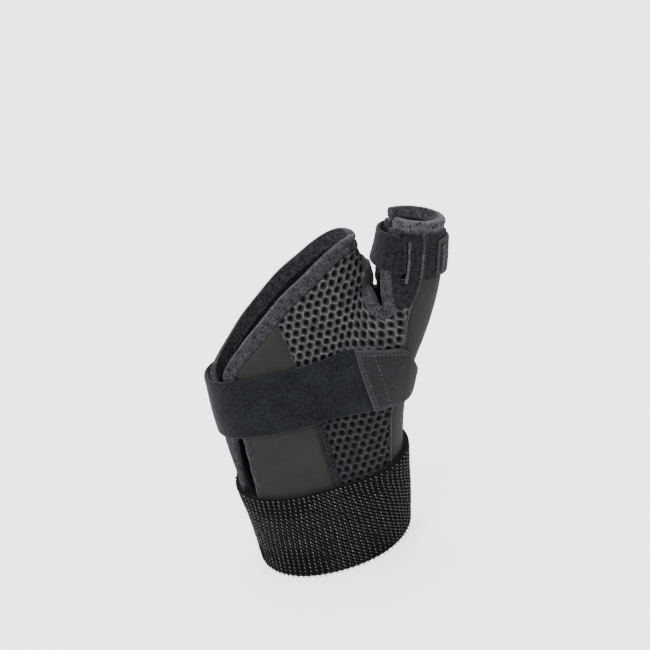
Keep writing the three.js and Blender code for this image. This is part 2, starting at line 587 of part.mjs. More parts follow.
// thumb strap: out of the palmar slot, round the web side and the back, to its tab
const strapFoot = rimFoot - thumbStrapWidth - rimClear;
const tabTurn = 42;
const spineTo = (h, turn) => radialAt(turn, h).p.distanceTo(
  new THREE.Vector3(spineAt(h)[0], spineAt(h)[1], h));
function thumbStrap() {
  const tabSpan = turnFor(thumbTabLength, thumbRadius * 0.7 + overBinding);
  const middle = overBinding + thumbStrapWall / 2, bend = thumbStrapWall / 2 + 0.45;
  const half = (q) => thumbStrapWall * (q.hem ? 0.3 : 0.5);
  const grid = hemRows.map((v) => {
    const h = strapFoot + v * thumbStrapWidth, hem = v === 0 || v === 1;
    const radius = spineTo(h, 10);
    const slot = seamTurn(-1, h) - turnFor(slotInset + seamGap / 2, radius);
    const turned = slot - turnFor(bend, radius);
    const to = tabTurn + tabSpan - 360 + turnFor(seamGap, radius);
    // up through the slot, over its edge, then flat round the thumb
    const rise = [[0, 0.9], [0, middle - bend], [30, 0], [60, 0], [90, 0]].map(([angle, lift]) => {
      const s = Math.sin(angle * rad), c = Math.cos(angle * rad);
      const { p, n } = radialAt(turned + turnFor(bend * c, radius), h);
      const along = radialAt(slot + 1, h).p.sub(radialAt(slot - 1, h).p).normalize();
      return { p: p.addScaledVector(n, lift || middle - bend + bend * s),
        n: along.multiplyScalar(c).addScaledVector(n, s).normalize(), hem };
    });
    const round = steps(30, turned, to).slice(1).map((turn) => {
      const { p, n } = radialAt(turn, h);
      return { p: p.addScaledVector(n, middle), n, hem };
    });
    return [...rise, ...round];
  });
  layUp('thumb_strap', [{ grid }], (q) => -half(q), half, loopPile);
  const tab = hemRows.map((v) => {
    const h = strapFoot - 0.4 + v * thumbTabWidth;
    return steps(5, tabTurn, tabTurn + tabSpan).map((turn) => ({
      ...radialAt(turn, h), hem: v === 0 || v === 1 }));
  });
  const tabMiddle = overBinding + tabWall / 2 - 0.3;
  layUp('thumb_strap_tab', [{ grid: tab }], (q) => tabMiddle - tabWall * (q.hem ? 0.3 : 0.5),
    (q) => tabMiddle + tabWall * (q.hem ? 0.3 : 0.5), hookTab);
}

sidePanels(-1, 'palmar');
sidePanels(1, 'dorsal');
radialPanel();
palmBinding();
thumbHoleBinding();
thumbRim();
forearmCuff();
wristStrap();
wristStrapTab();
thumbStrap();

export default parts;
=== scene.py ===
import math
import bpy
import numpy as np
from mathutils import Matrix, Vector


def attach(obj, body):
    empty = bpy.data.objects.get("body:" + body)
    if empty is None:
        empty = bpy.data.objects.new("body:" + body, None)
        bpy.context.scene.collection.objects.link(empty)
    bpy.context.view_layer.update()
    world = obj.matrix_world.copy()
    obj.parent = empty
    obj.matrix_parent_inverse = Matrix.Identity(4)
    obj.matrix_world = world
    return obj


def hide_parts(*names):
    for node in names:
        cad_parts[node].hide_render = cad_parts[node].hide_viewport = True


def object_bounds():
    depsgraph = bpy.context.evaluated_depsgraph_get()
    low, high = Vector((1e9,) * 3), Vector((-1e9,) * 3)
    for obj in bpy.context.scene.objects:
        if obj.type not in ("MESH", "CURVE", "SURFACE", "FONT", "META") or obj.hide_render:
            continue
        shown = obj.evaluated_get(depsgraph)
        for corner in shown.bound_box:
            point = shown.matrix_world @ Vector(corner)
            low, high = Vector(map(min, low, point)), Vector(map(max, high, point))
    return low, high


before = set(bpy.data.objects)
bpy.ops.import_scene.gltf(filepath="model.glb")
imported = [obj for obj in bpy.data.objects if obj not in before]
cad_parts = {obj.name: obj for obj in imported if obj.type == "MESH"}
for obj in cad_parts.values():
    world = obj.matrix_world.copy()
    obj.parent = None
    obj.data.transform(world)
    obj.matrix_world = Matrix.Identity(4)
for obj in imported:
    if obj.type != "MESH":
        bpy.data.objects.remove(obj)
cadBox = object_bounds()
print("frame loaded,", len(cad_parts), "solids")

# the photograph's view: a portrait lens from in front and above, the splint leaning left
photoView = {"lens": 85.0, "sensor": 36.0, "distance": 0.70, "elevation": 22.0, "lean": 13.0,
             "target": (0.0155, 0.0, 0.0868)}


def makeCamera():
    rise, lean = math.radians(photoView["elevation"]), math.radians(photoView["lean"])
    back = Vector((0, -math.cos(rise), math.sin(rise)))
    across = Vector((1, 0, 0))
    upward = across.cross(-back)
    right = across * math.cos(lean) - upward * math.sin(lean)
    top = across * math.sin(lean) + upward * math.cos(lean)
    data = bpy.data.cameras.new("photoCamera")
    data.lens, data.sensor_width = photoView["lens"], photoView["sensor"]
    data.clip_start, data.clip_end = 0.01, 20
    camera = bpy.data.objects.new("photoCamera", data)
    place = Matrix((right, top, back)).transposed().to_4x4()
    place.translation = Vector(photoView["target"]) + back * photoView["distance"]
    camera.matrix_world = place
    bpy.context.scene.collection.objects.link(camera)
    bpy.context.scene.camera = camera


studio = {"floor": "f6f6f5", "floorGlow": 2.2, "sky": "f2f3f5", "skyStrength": 0.62,
          "lamps": [  # name, place, aim, size, watts
              ("keyLamp", (-0.75, -0.95, 0.95), (0.01, 0, 0.07), 0.75, 14.5),
              ("fillLamp", (0.95, -0.80, 0.45), (0.01, 0, 0.07), 0.90, 5.2),
              ("topLamp", (0.10, 0.35, 1.20), (0.01, 0, 0.08), 0.80, 10.0)]}


def paint(code):  # sRGB hex to linear
    parts = [int(code[i:i + 2], 16) / 255 for i in (0, 2, 4)]
    return [c / 12.92 if c <= 0.04045 else ((c + 0.055) / 1.055) ** 2.4 for c in parts] + [1.0]


def addNode(tree, kind, inputs=None, **properties):
    made = tree.nodes.new(kind)
    for name, value in properties.items():
        setattr(made, name, value)
    for name, value in (inputs or {}).items():
        if isinstance(value, bpy.types.NodeSocket):
            tree.links.new(value, made.inputs[name])
        else:
            made.inputs[name].default_value = value
    return made


def makeStudio():
    world = bpy.data.worlds.new("studioWorld")
    world.use_nodes = True
    world.node_tree.nodes["Background"].inputs["Color"].default_value = paint(studio["sky"])
    world.node_tree.nodes["Background"].inputs["Strength"].default_value = studio["skyStrength"]
    bpy.context.scene.world = world
    for name, place, aim, size, watts in studio["lamps"]:
        data = bpy.data.lights.new(name, "AREA")
        data.shape, data.size, data.energy = "DISK", size, watts
        lamp = bpy.data.objects.new(name, data)
        lamp.location = place
        lamp.rotation_mode = "QUATERNION"
        lamp.rotation_quaternion = (Vector(aim) - Vector(place)).to_track_quat("-Z", "Y")
        bpy.context.scene.collection.objects.link(lamp)
    # the floor curves up behind, so that it shows no horizon
    low = cadBox[0].z - 0.0005
    line = [(-1.2, low), (0.5, low)]
    line += [(0.5 + 0.5 * math.sin(a), low + 0.5 - 0.5 * math.cos(a))
             for a in np.linspace(0.1, math.pi / 2, 12)]
    line += [(1.0, 2.2)]
    points = [(x, y, z) for y, z in line for x in (-2.5, 2.5)]
    faces = [(2 * i, 2 * i + 1, 2 * i + 3, 2 * i + 2) for i in range(len(line) - 1)]
    mesh = bpy.data.meshes.new("studioFloor")
    mesh.from_pydata(points, [], faces)
    mesh.polygons.foreach_set("use_smooth", [True] * len(faces))
    floor = bpy.data.objects.new("studioFloor", mesh)
    bpy.context.scene.collection.objects.link(floor)
    material = bpy.data.materials.new("paperBackdrop")
    material.use_nodes = True
    shader = material.node_tree.nodes["Principled BSDF"]
    shader.inputs["Base Color"].default_value = paint(studio["floor"])
    shader.inputs["Roughness"].default_value = 0.9
    # paper lit from behind, as the camera sees it; it throws no extra light on the splint
    seen = addNode(material.node_tree, "ShaderNodeLightPath")
    glow = addNode(material.node_tree, "ShaderNodeMath", {0: seen.outputs["Is Camera Ray"],
                                                          1: studio["floorGlow"]}, operation="MULTIPLY")
    shader.inputs["Emission Color"].default_value = paint(studio["floor"])
    material.node_tree.links.new(glow.outputs[0], shader.inputs["Emission Strength"])
    floor.data.materials.append(material)


makeCamera()
makeStudio()
print("camera, lamps and floor made")

# the space inside the splint, in millimetres; the cloth is laid over it
whole = {"length": 158.0, "palmHalfBreadth": 38.0, "wristHalfDepth": 25.0, "thumbRadius": 16.6,
         "thumbReach": 66.0, "thumbSink": 11.0, "webSoftness": 9.0, "webFlare": 3.6}


def up(share):
    return share * whole["length"]


def out(share):
    return share * whole["palmHalfBreadth"]


def ease(value, low, high):
    t = np.clip((np.asarray(value, float) - low) / (high - low), 0, 1)
    return t * t * (3 - 2 * t)


def hermite(u, start, end, startSlope, endSlope):
    return ((2 * u ** 3 - 3 * u ** 2 + 1) * start + (u ** 3 - 2 * u ** 2 + u) * startSlope
            + (-2 * u ** 3 + 3 * u ** 2) * end + (u ** 3 - u ** 2) * endSlope)


def through(rows):  # smooth curve through rows; the first column is the position
    table = np.asarray(rows, float)
    at, values = table[:, 0], table[:, 1:]
    last = len(at) - 1
    before, after = np.maximum(np.arange(last + 1) - 1, 0), np.minimum(np.arange(last + 1) + 1, last)
    slope = (values[after] - values[before]) / (at[after] - at[before])[:, None]

    def read(where):
        t = np.clip(np.asarray(where, float), at[0], at[-1])
        i = np.clip(np.searchsorted(at, t, side="left") - 1, 0, last - 1)
        h = (at[i + 1] - at[i])[..., None]
        u = (t[..., None] - at[i][..., None]) / h
        return hermite(u, values[i], values[i + 1], h * slope[i], h * slope[i + 1])
    return read


# the sleeve: height, centre, half breadth, half depth, squareness
sleeveRows = [(-.215, -.053, .829, 1.08, 2.2), (-.127, -.055, .826, 1.07, 2.2),
              (0, -.021, .882, 1.0, 2.2), (.127, -.02, .955, .9, 2.3), (.285, -.018, 1.005, .82, 2.4),
              (.443, -.021, 1.0, .74, 2.4), (.601, -.021, 1.008, .66, 2.4),
              (.791, -.039, .947, .58, 2.4), (.949, -.066, .947, .54, 2.4)]
sleeveAt = through([(up(a), out(b), out(c), d * whole["wristHalfDepth"], e)
                    for a, b, c, d, e in sleeveRows])
# the thumb tube's axis: across, palmar, height, and the tube's radius there
thumbShares = [(.258, .364, .177, .904), (.379, .545, .323, 1.0), (.515, .727, .449, .976),
               (.659, .818, .538, .892), (.788, .909, .62, .795), (.879, .955, .709, .735),
               (.947, 1.0, .797, .657), (1.0, 1.0, .873, .614)]
thumbRows = [(a * whole["thumbReach"], -b * whole["thumbSink"], up(c), d * whole["thumbRadius"])
             for a, b, c, d in thumbShares]
thumbLine = through([(i, *row) for i, row in enumerate(thumbRows)])(np.linspace(0, 7, 28))
spineAt = through([(up(-.215), whole["thumbReach"] * .09, 0, 0), (0, whole["thumbReach"] * .144, 0, 0),
                   (up(.127), whole["thumbReach"] * .2, -whole["thumbSink"] * .2, 0)]
                  + [(z, x, y, 17 * float(ease(z, up(.16), up(.7)))) for x, y, z, _ in thumbRows])


def sleeveGap(p):
    s = sleeveAt(p[..., 2])
    w, d, n = s[..., 1], s[..., 2], s[..., 3]
    a = np.maximum(np.abs(p[..., 0] - s[..., 0]) / w, 1e-6)
    b = np.maximum(np.abs(p[..., 1]) / d, 1e-6)
    g = (a ** n + b ** n) ** (1 / n)
    gx, gy = g ** (1 - n) * a ** (n - 1) / w, g ** (1 - n) * b ** (n - 1) / d
    return (g - 1) / np.sqrt(gx * gx + gy * gy + 1e-12)


def thumbGap(p):
    best = np.full(p.shape[:-1], 1e9)
    for a, b in zip(thumbLine[:-1], thumbLine[1:]):
        way = b[:3] - a[:3]
        t = np.clip((p - a[:3]) @ way / (way @ way), 0, 1)
        gap = np.sqrt(((p - a[:3] - t[..., None] * way) ** 2).sum(-1)) - (a[3] + t * (b[3] - a[3]))
        best = np.minimum(best, gap)
    return best


def softJoin(a, b):
    soft = whole["webSoftness"]
    h = np.maximum(soft - np.abs(a - b), 0) / soft
    return np.minimum(a, b) - h * h * soft / 4


slitFloor = up(.62)


def palmForm(p):
    x, z = p[..., 0], p[..., 2]
    flare = ease(x, out(.8), out(1.1)) * ease(z, slitFloor, up(.677)) * (1 - ease(z, up(.684), up(.759)))
    apart = 26 * ease(z, slitFloor, up(.785))  # above the slit's floor the sleeve and the tube part
    return softJoin(sleeveGap(p) - whole["webFlare"] * flare, thumbGap(p) + apart)


def thumbForm(p):
    return softJoin(thumbGap(p), sleeveGap(p) + 22 * ease(p[..., 2], slitFloor, up(.734)))


def unit(v):
    return v / np.maximum(np.linalg.norm(v, axis=-1, keepdims=True), 1e-9)


def normalAt(form, p):
    e = np.eye(3) * .25
    return unit(np.stack([form(p + e[k]) - form(p - e[k]) for k in range(3)], -1))


def halve(a, b, isShort, turns):  # closes in on where isShort changes
    for _ in range(turns):
        mid = (a + b) / 2
        short = isShort(mid)
        a, b = np.where(short, mid, a), np.where(short, b, mid)
    return a, b


def outTo(form, start, way):  # walks out from inner points until the form's skin
    start, way = np.broadcast_arrays(start, way)
    shape = start.shape
    start, way = start.reshape(-1, 3), way.reshape(-1, 3)
    was = form(start) < 0
    near, far, found = np.zeros(len(start)), np.zeros(len(start)), np.zeros(len(start), bool)
    for t in np.arange(1.2, 70, 1.2):
        todo = np.flatnonzero(~found)
        if not len(todo):
            break
        inside = form(start[todo] + way[todo] * t) < 0
        crossed = was[todo] & ~inside
        near[todo[crossed]], far[todo[crossed]], found[todo[crossed]] = t - 1.2, t, True
        was[todo] = inside
    for _ in range(15):
        mid = (near + far) / 2
        inside = form(start + way * mid[:, None]) < 0
        near, far = np.where(inside, mid, near), np.where(inside, far, mid)
    p = start + way * near[:, None]
    return p.reshape(shape), normalAt(form, p).reshape(shape)


def settle(form, points, turns=6):
    p = np.array(points, float)
    for _ in range(turns):
        p = p - normalAt(form, p) * form(p)[..., None]
    return p, normalAt(form, p)


ulnarFocus, ulnarTurn, indexFocus, indexTurn = out(-.55), out(.45), out(.5), out(.395)
indexMiddle = indexFocus + indexTurn * math.pi / 2
ulnarMiddle = ulnarFocus - ulnarTurn * math.pi / 2


def palmAt(side, x, z):
    side, x, z = [np.array(v, float) for v in np.broadcast_arrays(side, x, z)]
    over = x < ulnarMiddle
    side, x = np.where(over, -side, side), np.where(over, 2 * ulnarMiddle - x, x)
    left, turnLeft = x < ulnarFocus, (ulnarFocus - x) / ulnarTurn
    bend = ease(z, slitFloor, up(.709))
    past = np.maximum(x - indexFocus, 0)
    begin, turnRight = x - past * bend, bend * past / indexTurn
    y = spineAt(z)[..., 1] * ease(begin, out(.55), out(1))
    start = np.stack([np.where(left, ulnarFocus, begin), np.where(left, 0, y), z], -1)
    way = np.stack([np.where(left, -np.sin(turnLeft), np.sin(turnRight)),
                    side * np.where(left, np.cos(turnLeft), np.cos(turnRight)), 0 * z], -1)
    return outTo(palmForm, start, way)


def radialAt(turn, h):
    turn, h = [np.array(v, float) for v in np.broadcast_arrays(turn, h)]
    row = spineAt(h)
    s, c, lean = np.sin(np.radians(turn)), np.cos(np.radians(turn)), np.radians(row[..., 2])
    start = np.stack([row[..., 0], row[..., 1], h], -1)
    return outTo(thumbForm, start, np.stack([s * np.cos(lean), -c, -s * np.sin(lean)], -1))


def rowHeight(h, x):
    row = spineAt(h)
    return h - np.tan(np.radians(row[..., 2])) * (x - row[..., 0])


def radialFrom(p):
    h = p[..., 2].copy()
    for _ in range(12):
        row = spineAt(h)
        h = p[..., 2] + np.tan(np.radians(row[..., 2])) * (p[..., 0] - row[..., 0])
    row = spineAt(h)
    away = (p[..., 0] - row[..., 0]) / np.cos(np.radians(row[..., 2]))
    return np.degrees(np.arctan2(away, -(p[..., 1] - row[..., 1]))), h


def asCurve(rows):
    read = through([(up(a), out(b)) for a, b in rows])
    return lambda z: read(z)[..., 0]


patchSeam = asCurve([(-.15, .11), (.114, .087), (.297, .04), (.487, -.032), (.62, -.126), (.66, -.16)])
radialSeam = asCurve([(-.15, .7), (0, .73), (.14, .77), (.206, .823), (.308, .91), (.383, 1.05),
                      (.504, 1.229), (.577, 1.335), (.62, 1.43), (.653, 1.52), (.708, 1.612),
                      (.763, 1.676), (.85, 1.76)])
seamLevels = np.linspace(-12, up(.82), 46)


def findSeamTurns(side):
    a = np.full(len(seamLevels), 4. if side < 0 else 176.)
    b = np.full(len(seamLevels), 88. if side < 0 else 92.)

    def isShort(turn):
        p, _ = radialAt(turn, seamLevels)
        return p[:, 0] < radialSeam(p[:, 2])
    return sum(halve(a, b, isShort, 16)) / 2


seamTurns = {side: findSeamTurns(side) for side in (-1, 1)}


def seamTurn(side, h):
    return np.interp(h, seamLevels, seamTurns[side])


def turnFor(length, radius):
    return np.degrees(length / radius)


def radiusAt(turn, h):
    p, _ = radialAt(turn, h)
    row = spineAt(np.asarray(h, float))
    return np.linalg.norm(p - np.stack([row[..., 0], row[..., 1], h + 0 * row[..., 0]], -1), axis=-1)


# building cloth
layers = {"liningGap": .3, "panel": 2.4, "overPanel": 3.1, "overBinding": 3.62, "seamGap": .4}
panelLow, panelHigh = layers["liningGap"], layers["liningGap"] + layers["panel"]
panelMiddle, seamGap = (panelLow + panelHigh) / 2, layers["seamGap"]
finishes = {}


def refine(grid, rows, columns):  # smooth upsampling of a coarse grid
    def along(values, at):
        n = len(values)
        i = np.clip(np.floor(at).astype(int), 0, n - 2)
        u = (at - i).reshape(-1, *[1] * (values.ndim - 1))
        y0, y1 = values[i], values[i + 1]
        m0 = np.where((i > 0).reshape(u.shape), (y1 - values[np.maximum(i - 1, 0)]) / 2, y1 - y0)
        m1 = np.where((i < n - 2).reshape(u.shape), (values[np.minimum(i + 2, n - 1)] - y0) / 2, y1 - y0)
        return hermite(u, y0, y1, m0, m1)
    first = along(grid, np.asarray(rows, float))
    return np.swapaxes(along(np.swapaxes(first, 0, 1), np.asarray(columns, float)), 0, 1)


def refineBoth(p, n, rows, columns):
    both = refine(np.concatenate([p, n], -1), rows, columns)
    return both[..., :3], unit(both[..., 3:])


def edged(length, pitch, near=1.2):  # shares of a length, closer together at both ends
    ends = np.array([0, .1, .25, .5, .8]) * near
    inner = np.linspace(near, length - near, max(int((length - 2 * near) / pitch), 2) + 1)
    return np.concatenate([ends, inner, (length - ends)[::-1]]) / length


def lengthsAlong(p, axis):
    step = np.linalg.norm(np.diff(p, axis=axis), axis=-1)
    start = np.zeros_like(np.take(step, [0], axis=axis))
    return np.concatenate([start, np.cumsum(step, axis=axis)], axis=axis)


def denseGrid(coarse, pitch, edge=1.2):
    p, n = coarse
    tall = lengthsAlong(p, 0)[-1].mean()
    wide = lengthsAlong(p, 1)[:, -1].mean()
    rows = edged(tall, pitch, edge) * (p.shape[0] - 1)
    columns = edged(wide, pitch, edge) * (p.shape[1] - 1)
    return refineBoth(p, n, rows, columns)


def wave(p, size, seed):  # smooth unevenness of about one unit, from a few sines
    r = np.random.default_rng(seed)
    total = 0
    for _ in range(5):
        way = unit(r.normal(size=3))
        total = total + np.sin(p @ way * 2 * np.pi / (size * r.uniform(.7, 1.5)) + r.uniform(0, 6.3))
    return total / 2.4


def fuzz(p, size, seed):  # value noise on a lattice
    cells = np.floor(p / size).astype(np.int64)
    u = p / size - cells
    u = u * u * (3 - 2 * u)
    total = 0
    for corner in np.ndindex(2, 2, 2):
        c = cells + np.array(corner)
        key = (c[..., 0] * 73856093) ^ (c[..., 1] * 19349663) ^ (c[..., 2] * 83492791) ^ (seed * 2654435)
        key = (key ^ (key >> 13)) * 1274126177
        value = ((key ^ (key >> 16)) & 65535) / 32767.5 - 1
        weight = np.prod([u[..., k] if corner[k] else 1 - u[..., k] for k in range(3)], 0)
        total = total + value * weight
    return total


def makePiece(name, points, faces, looks, uv=None, marks=None, faceLook=None, sharp=62):
    mesh = bpy.data.meshes.new(name)
    mesh.from_pydata((np.asarray(points) * .001).tolist(), [], np.asarray(faces).tolist()
                     if isinstance(faces, np.ndarray) else faces)
    mesh.polygons.foreach_set("use_smooth", [True] * len(mesh.polygons))
    if uv is not None:
        corner = np.zeros(len(mesh.loops), np.int64)
        mesh.loops.foreach_get("vertex_index", corner)
        layer = mesh.uv_layers.new(name="cut")
        layer.data.foreach_set("uv", np.asarray(uv, np.float32)[corner].ravel())
    for key, value in (marks or {}).items():
        layer = mesh.attributes.new(key, "FLOAT", "POINT")
        layer.data.foreach_set("value", np.asarray(value, np.float32).ravel())
    for look in looks:
        mesh.materials.append(finishes[look])
    if faceLook is not None:
        mesh.polygons.foreach_set("material_index", np.asarray(faceLook, np.int32))
    mesh.set_sharp_from_angle(angle=math.radians(sharp))
    mesh.update()
    piece = bpy.data.objects.new(name, mesh)
    bpy.context.scene.collection.objects.link(piece)
    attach(piece, "root")
    return piece


def clothLayer(name, dense, low, high, looks, keep=None, ring=False, edge=1.3, marks=None):
    # a closed layer: outer face first, then the inner face, then the cut edges, rounded over
    p, n = dense
    rows, columns = p.shape[:2]
    tall, wide = lengthsAlong(p, 0), lengthsAlong(p, 1)
    gapUp = np.minimum(tall, tall[-1:] - tall)
    gapAcross = np.full_like(gapUp, 1e3) if ring else np.minimum(wide, wide[:, -1:] - wide)
    gap = np.minimum(gapUp, gapAcross) if edge else np.full_like(gapUp, 1e3)
    rounding = np.sqrt(np.maximum(1 - (1 - np.clip(gap / max(edge, .01), 0, 1)) ** 2, 0))
    low, high = low + np.zeros(p.shape[:2]), high + np.zeros(p.shape[:2])
    middle = low + (high - low) * .42
    top = p + n * (middle + (high - middle) * (.18 + .82 * rounding))[..., None]
    bottom = p + n * (middle - (middle - low) * (.18 + .82 * rounding))[..., None]
    count = rows * columns
    index = np.arange(count).reshape(rows, columns)
    if ring:
        index = np.concatenate([index, index[:, :1]], 1)
    a, b, c, d = index[:-1, :-1], index[:-1, 1:], index[1:, 1:], index[1:, :-1]
    kept = np.ones(a.shape, bool) if keep is None else keep
    quad = np.stack([a, b, c, d], -1)[kept]
    r, q = rows // 2, columns // 2
    if np.cross(p[r, q + 1] - p[r, q], p[r + 1, q] - p[r, q]) @ n[r, q] < 0:
        quad = quad[:, ::-1]
    sides = np.concatenate([quad[:, [i, (i + 1) % 4]] for i in range(4)])
    code = sides[:, 0] * (count + 1) + sides[:, 1]
    back = sides[:, 1] * (count + 1) + sides[:, 0]
    rim = sides[~np.isin(code, back)]
    walls = np.stack([rim[:, 1], rim[:, 0], rim[:, 0] + count, rim[:, 1] + count], -1)
    faces = np.concatenate([quad, quad[:, ::-1] + count, walls])
    looksOf = np.concatenate([np.zeros(len(quad)), np.full(len(quad), min(1, len(looks) - 1)),
                              np.zeros(len(walls))])
    uv = np.stack([wide, tall], -1).reshape(-1, 2)
    edgeMark = np.exp(-(gap / 1.1) ** 2).reshape(-1)
    allMarks = {"hem": np.tile(edgeMark, 2)}
    for key, value in (marks or {}).items():
        allMarks[key] = np.tile(np.asarray(value).reshape(-1), 2)
    used = np.zeros(2 * count, bool)
    used[faces.ravel()] = True
    renumber = np.cumsum(used) - 1
    points = np.concatenate([top.reshape(-1, 3), bottom.reshape(-1, 3)])[used]
    return makePiece(name, points, renumber[faces], looks, np.tile(uv, (2, 1))[used],
                     {k: v[used] for k, v in allMarks.items()}, looksOf)


def tubeAlong(name, rings, looks):  # closed bar from rings of points that all run the same way
    count, around = rings.shape[:2]
    index = np.arange(count * around).reshape(count, around)
    turned = np.roll(index, -1, axis=1)
    quad = np.stack([index[:-1], turned[:-1], turned[1:], index[1:]], -1).reshape(-1, 4)
    centre = rings.mean(1)
    middle = count // 2
    outward = rings[middle, 0] - centre[middle]
    a, b, d = rings[middle, 0], rings[middle, 1], rings[middle + 1, 0]
    outwards = np.cross(b - a, d - a) @ outward > 0
    faces = [list(f) for f in (quad if outwards else quad[:, ::-1])]
    start, end = list(index[0]), list(index[-1])
    faces += [start[::-1], end] if outwards else [start, end[::-1]]
    along = np.concatenate([[0], np.cumsum(np.linalg.norm(np.diff(centre, axis=0), axis=1))])
    about = np.concatenate([[0], np.cumsum(np.linalg.norm(np.diff(rings[middle], axis=0), axis=1))])
    uv = np.stack(np.broadcast_arrays(along[:, None], about[None, :]), -1).reshape(-1, 2)
    return makePiece(name, rings.reshape(-1, 3), faces, looks, uv, sharp=75)


# finishes
def perMm(size):  # noise scale for a feature this many millimetres across, on metre coordinates
    return 1000 / size


def overColour(tree, shader, factor, colour):  # lays a colour over what the shader has so far
    before = shader.inputs["Base Color"].links[0].from_socket
    mixed = addNode(tree, "ShaderNodeMix", {0: factor, 6: before, 7: paint(colour)}, data_type="RGBA")
    tree.links.new(mixed.outputs[2], shader.inputs["Base Color"])


def addRelief(tree, shader, height, depth):  # depth in millimetres
    bump = addNode(tree, "ShaderNodeBump", {"Height": height, "Strength": 1.0, "Distance": depth * .001})
    if shader.inputs["Normal"].links:
        tree.links.new(shader.inputs["Normal"].links[0].from_socket, bump.inputs["Normal"])
    tree.links.new(bump.outputs["Normal"], shader.inputs["Normal"])


def clothFinish(name, look):
    # fibre grain over a slow unevenness, lighter where an edge has rubbed
    material = bpy.data.materials.new(name)
    material.use_nodes = True
    tree = material.node_tree
    shader = tree.nodes["Principled BSDF"]
    for socket, value in (("Roughness", look["rough"]), ("Sheen Weight", look["sheen"]), ("IOR", 1.5),
                          ("Sheen Roughness", .45), ("Specular IOR Level", look.get("gloss", .3))):
        shader.inputs[socket].default_value = value
    shader.inputs["Sheen Tint"].default_value = (.75, .76, .8, 1)
    where = addNode(tree, "ShaderNodeTexCoord").outputs["Object"]
    fine = addNode(tree, "ShaderNodeTexNoise", {"Vector": where, "Scale": perMm(look["grain"]),
                                                "Detail": 2.0, "Roughness": .6})
    slow = addNode(tree, "ShaderNodeTexNoise", {"Vector": where, "Scale": perMm(look["mottle"]),
                                                "Detail": 2.0})
    part = addNode(tree, "ShaderNodeMath", {0: fine.outputs["Fac"], 1: look["speckle"]},
                   operation="MULTIPLY")
    both = addNode(tree, "ShaderNodeMath", {0: slow.outputs["Fac"], 1: 1 - look["speckle"],
                                            2: part.outputs[0]}, operation="MULTIPLY_ADD")
    level = addNode(tree, "ShaderNodeMapRange", {"Value": both.outputs[0], "From Min": .32,
                                                 "From Max": .68})
    tone = addNode(tree, "ShaderNodeMix", {0: level.outputs["Result"], 6: paint(look["dark"]),
                                           7: paint(look["light"])}, data_type="RGBA")
    tree.links.new(tone.outputs[2], shader.inputs["Base Color"])
    hem = addNode(tree, "ShaderNodeAttribute", attribute_name="hem")
    rub = addNode(tree, "ShaderNodeMath", {0: hem.outputs["Fac"], 1: fine.outputs["Fac"]},
                  operation="MULTIPLY")
    overColour(tree, shader, rub.outputs[0], look["worn"])
    addRelief(tree, shader, fine.outputs["Fac"], look["relief"])
    finishes[name] = material
    return tree, shader, fine


def cutCoordinates(tree):  # millimetres along the two edges of the cut cloth
    flat = addNode(tree, "ShaderNodeUVMap", uv_map="cut")
    return addNode(tree, "ShaderNodeSeparateXYZ", {0: flat.outputs["UV"]})


def ripple(tree, value, pitch):  # a wave of that pitch in millimetres, 0 to 1
    turn = addNode(tree, "ShaderNodeMath", {0: value, 1: 2 * math.pi / pitch}, operation="MULTIPLY")
    sine = addNode(tree, "ShaderNodeMath", {0: turn.outputs[0]}, operation="SINE")
    return addNode(tree, "ShaderNodeMath", {0: sine.outputs[0], 1: .5, 2: .5},
                   operation="MULTIPLY_ADD").outputs[0]


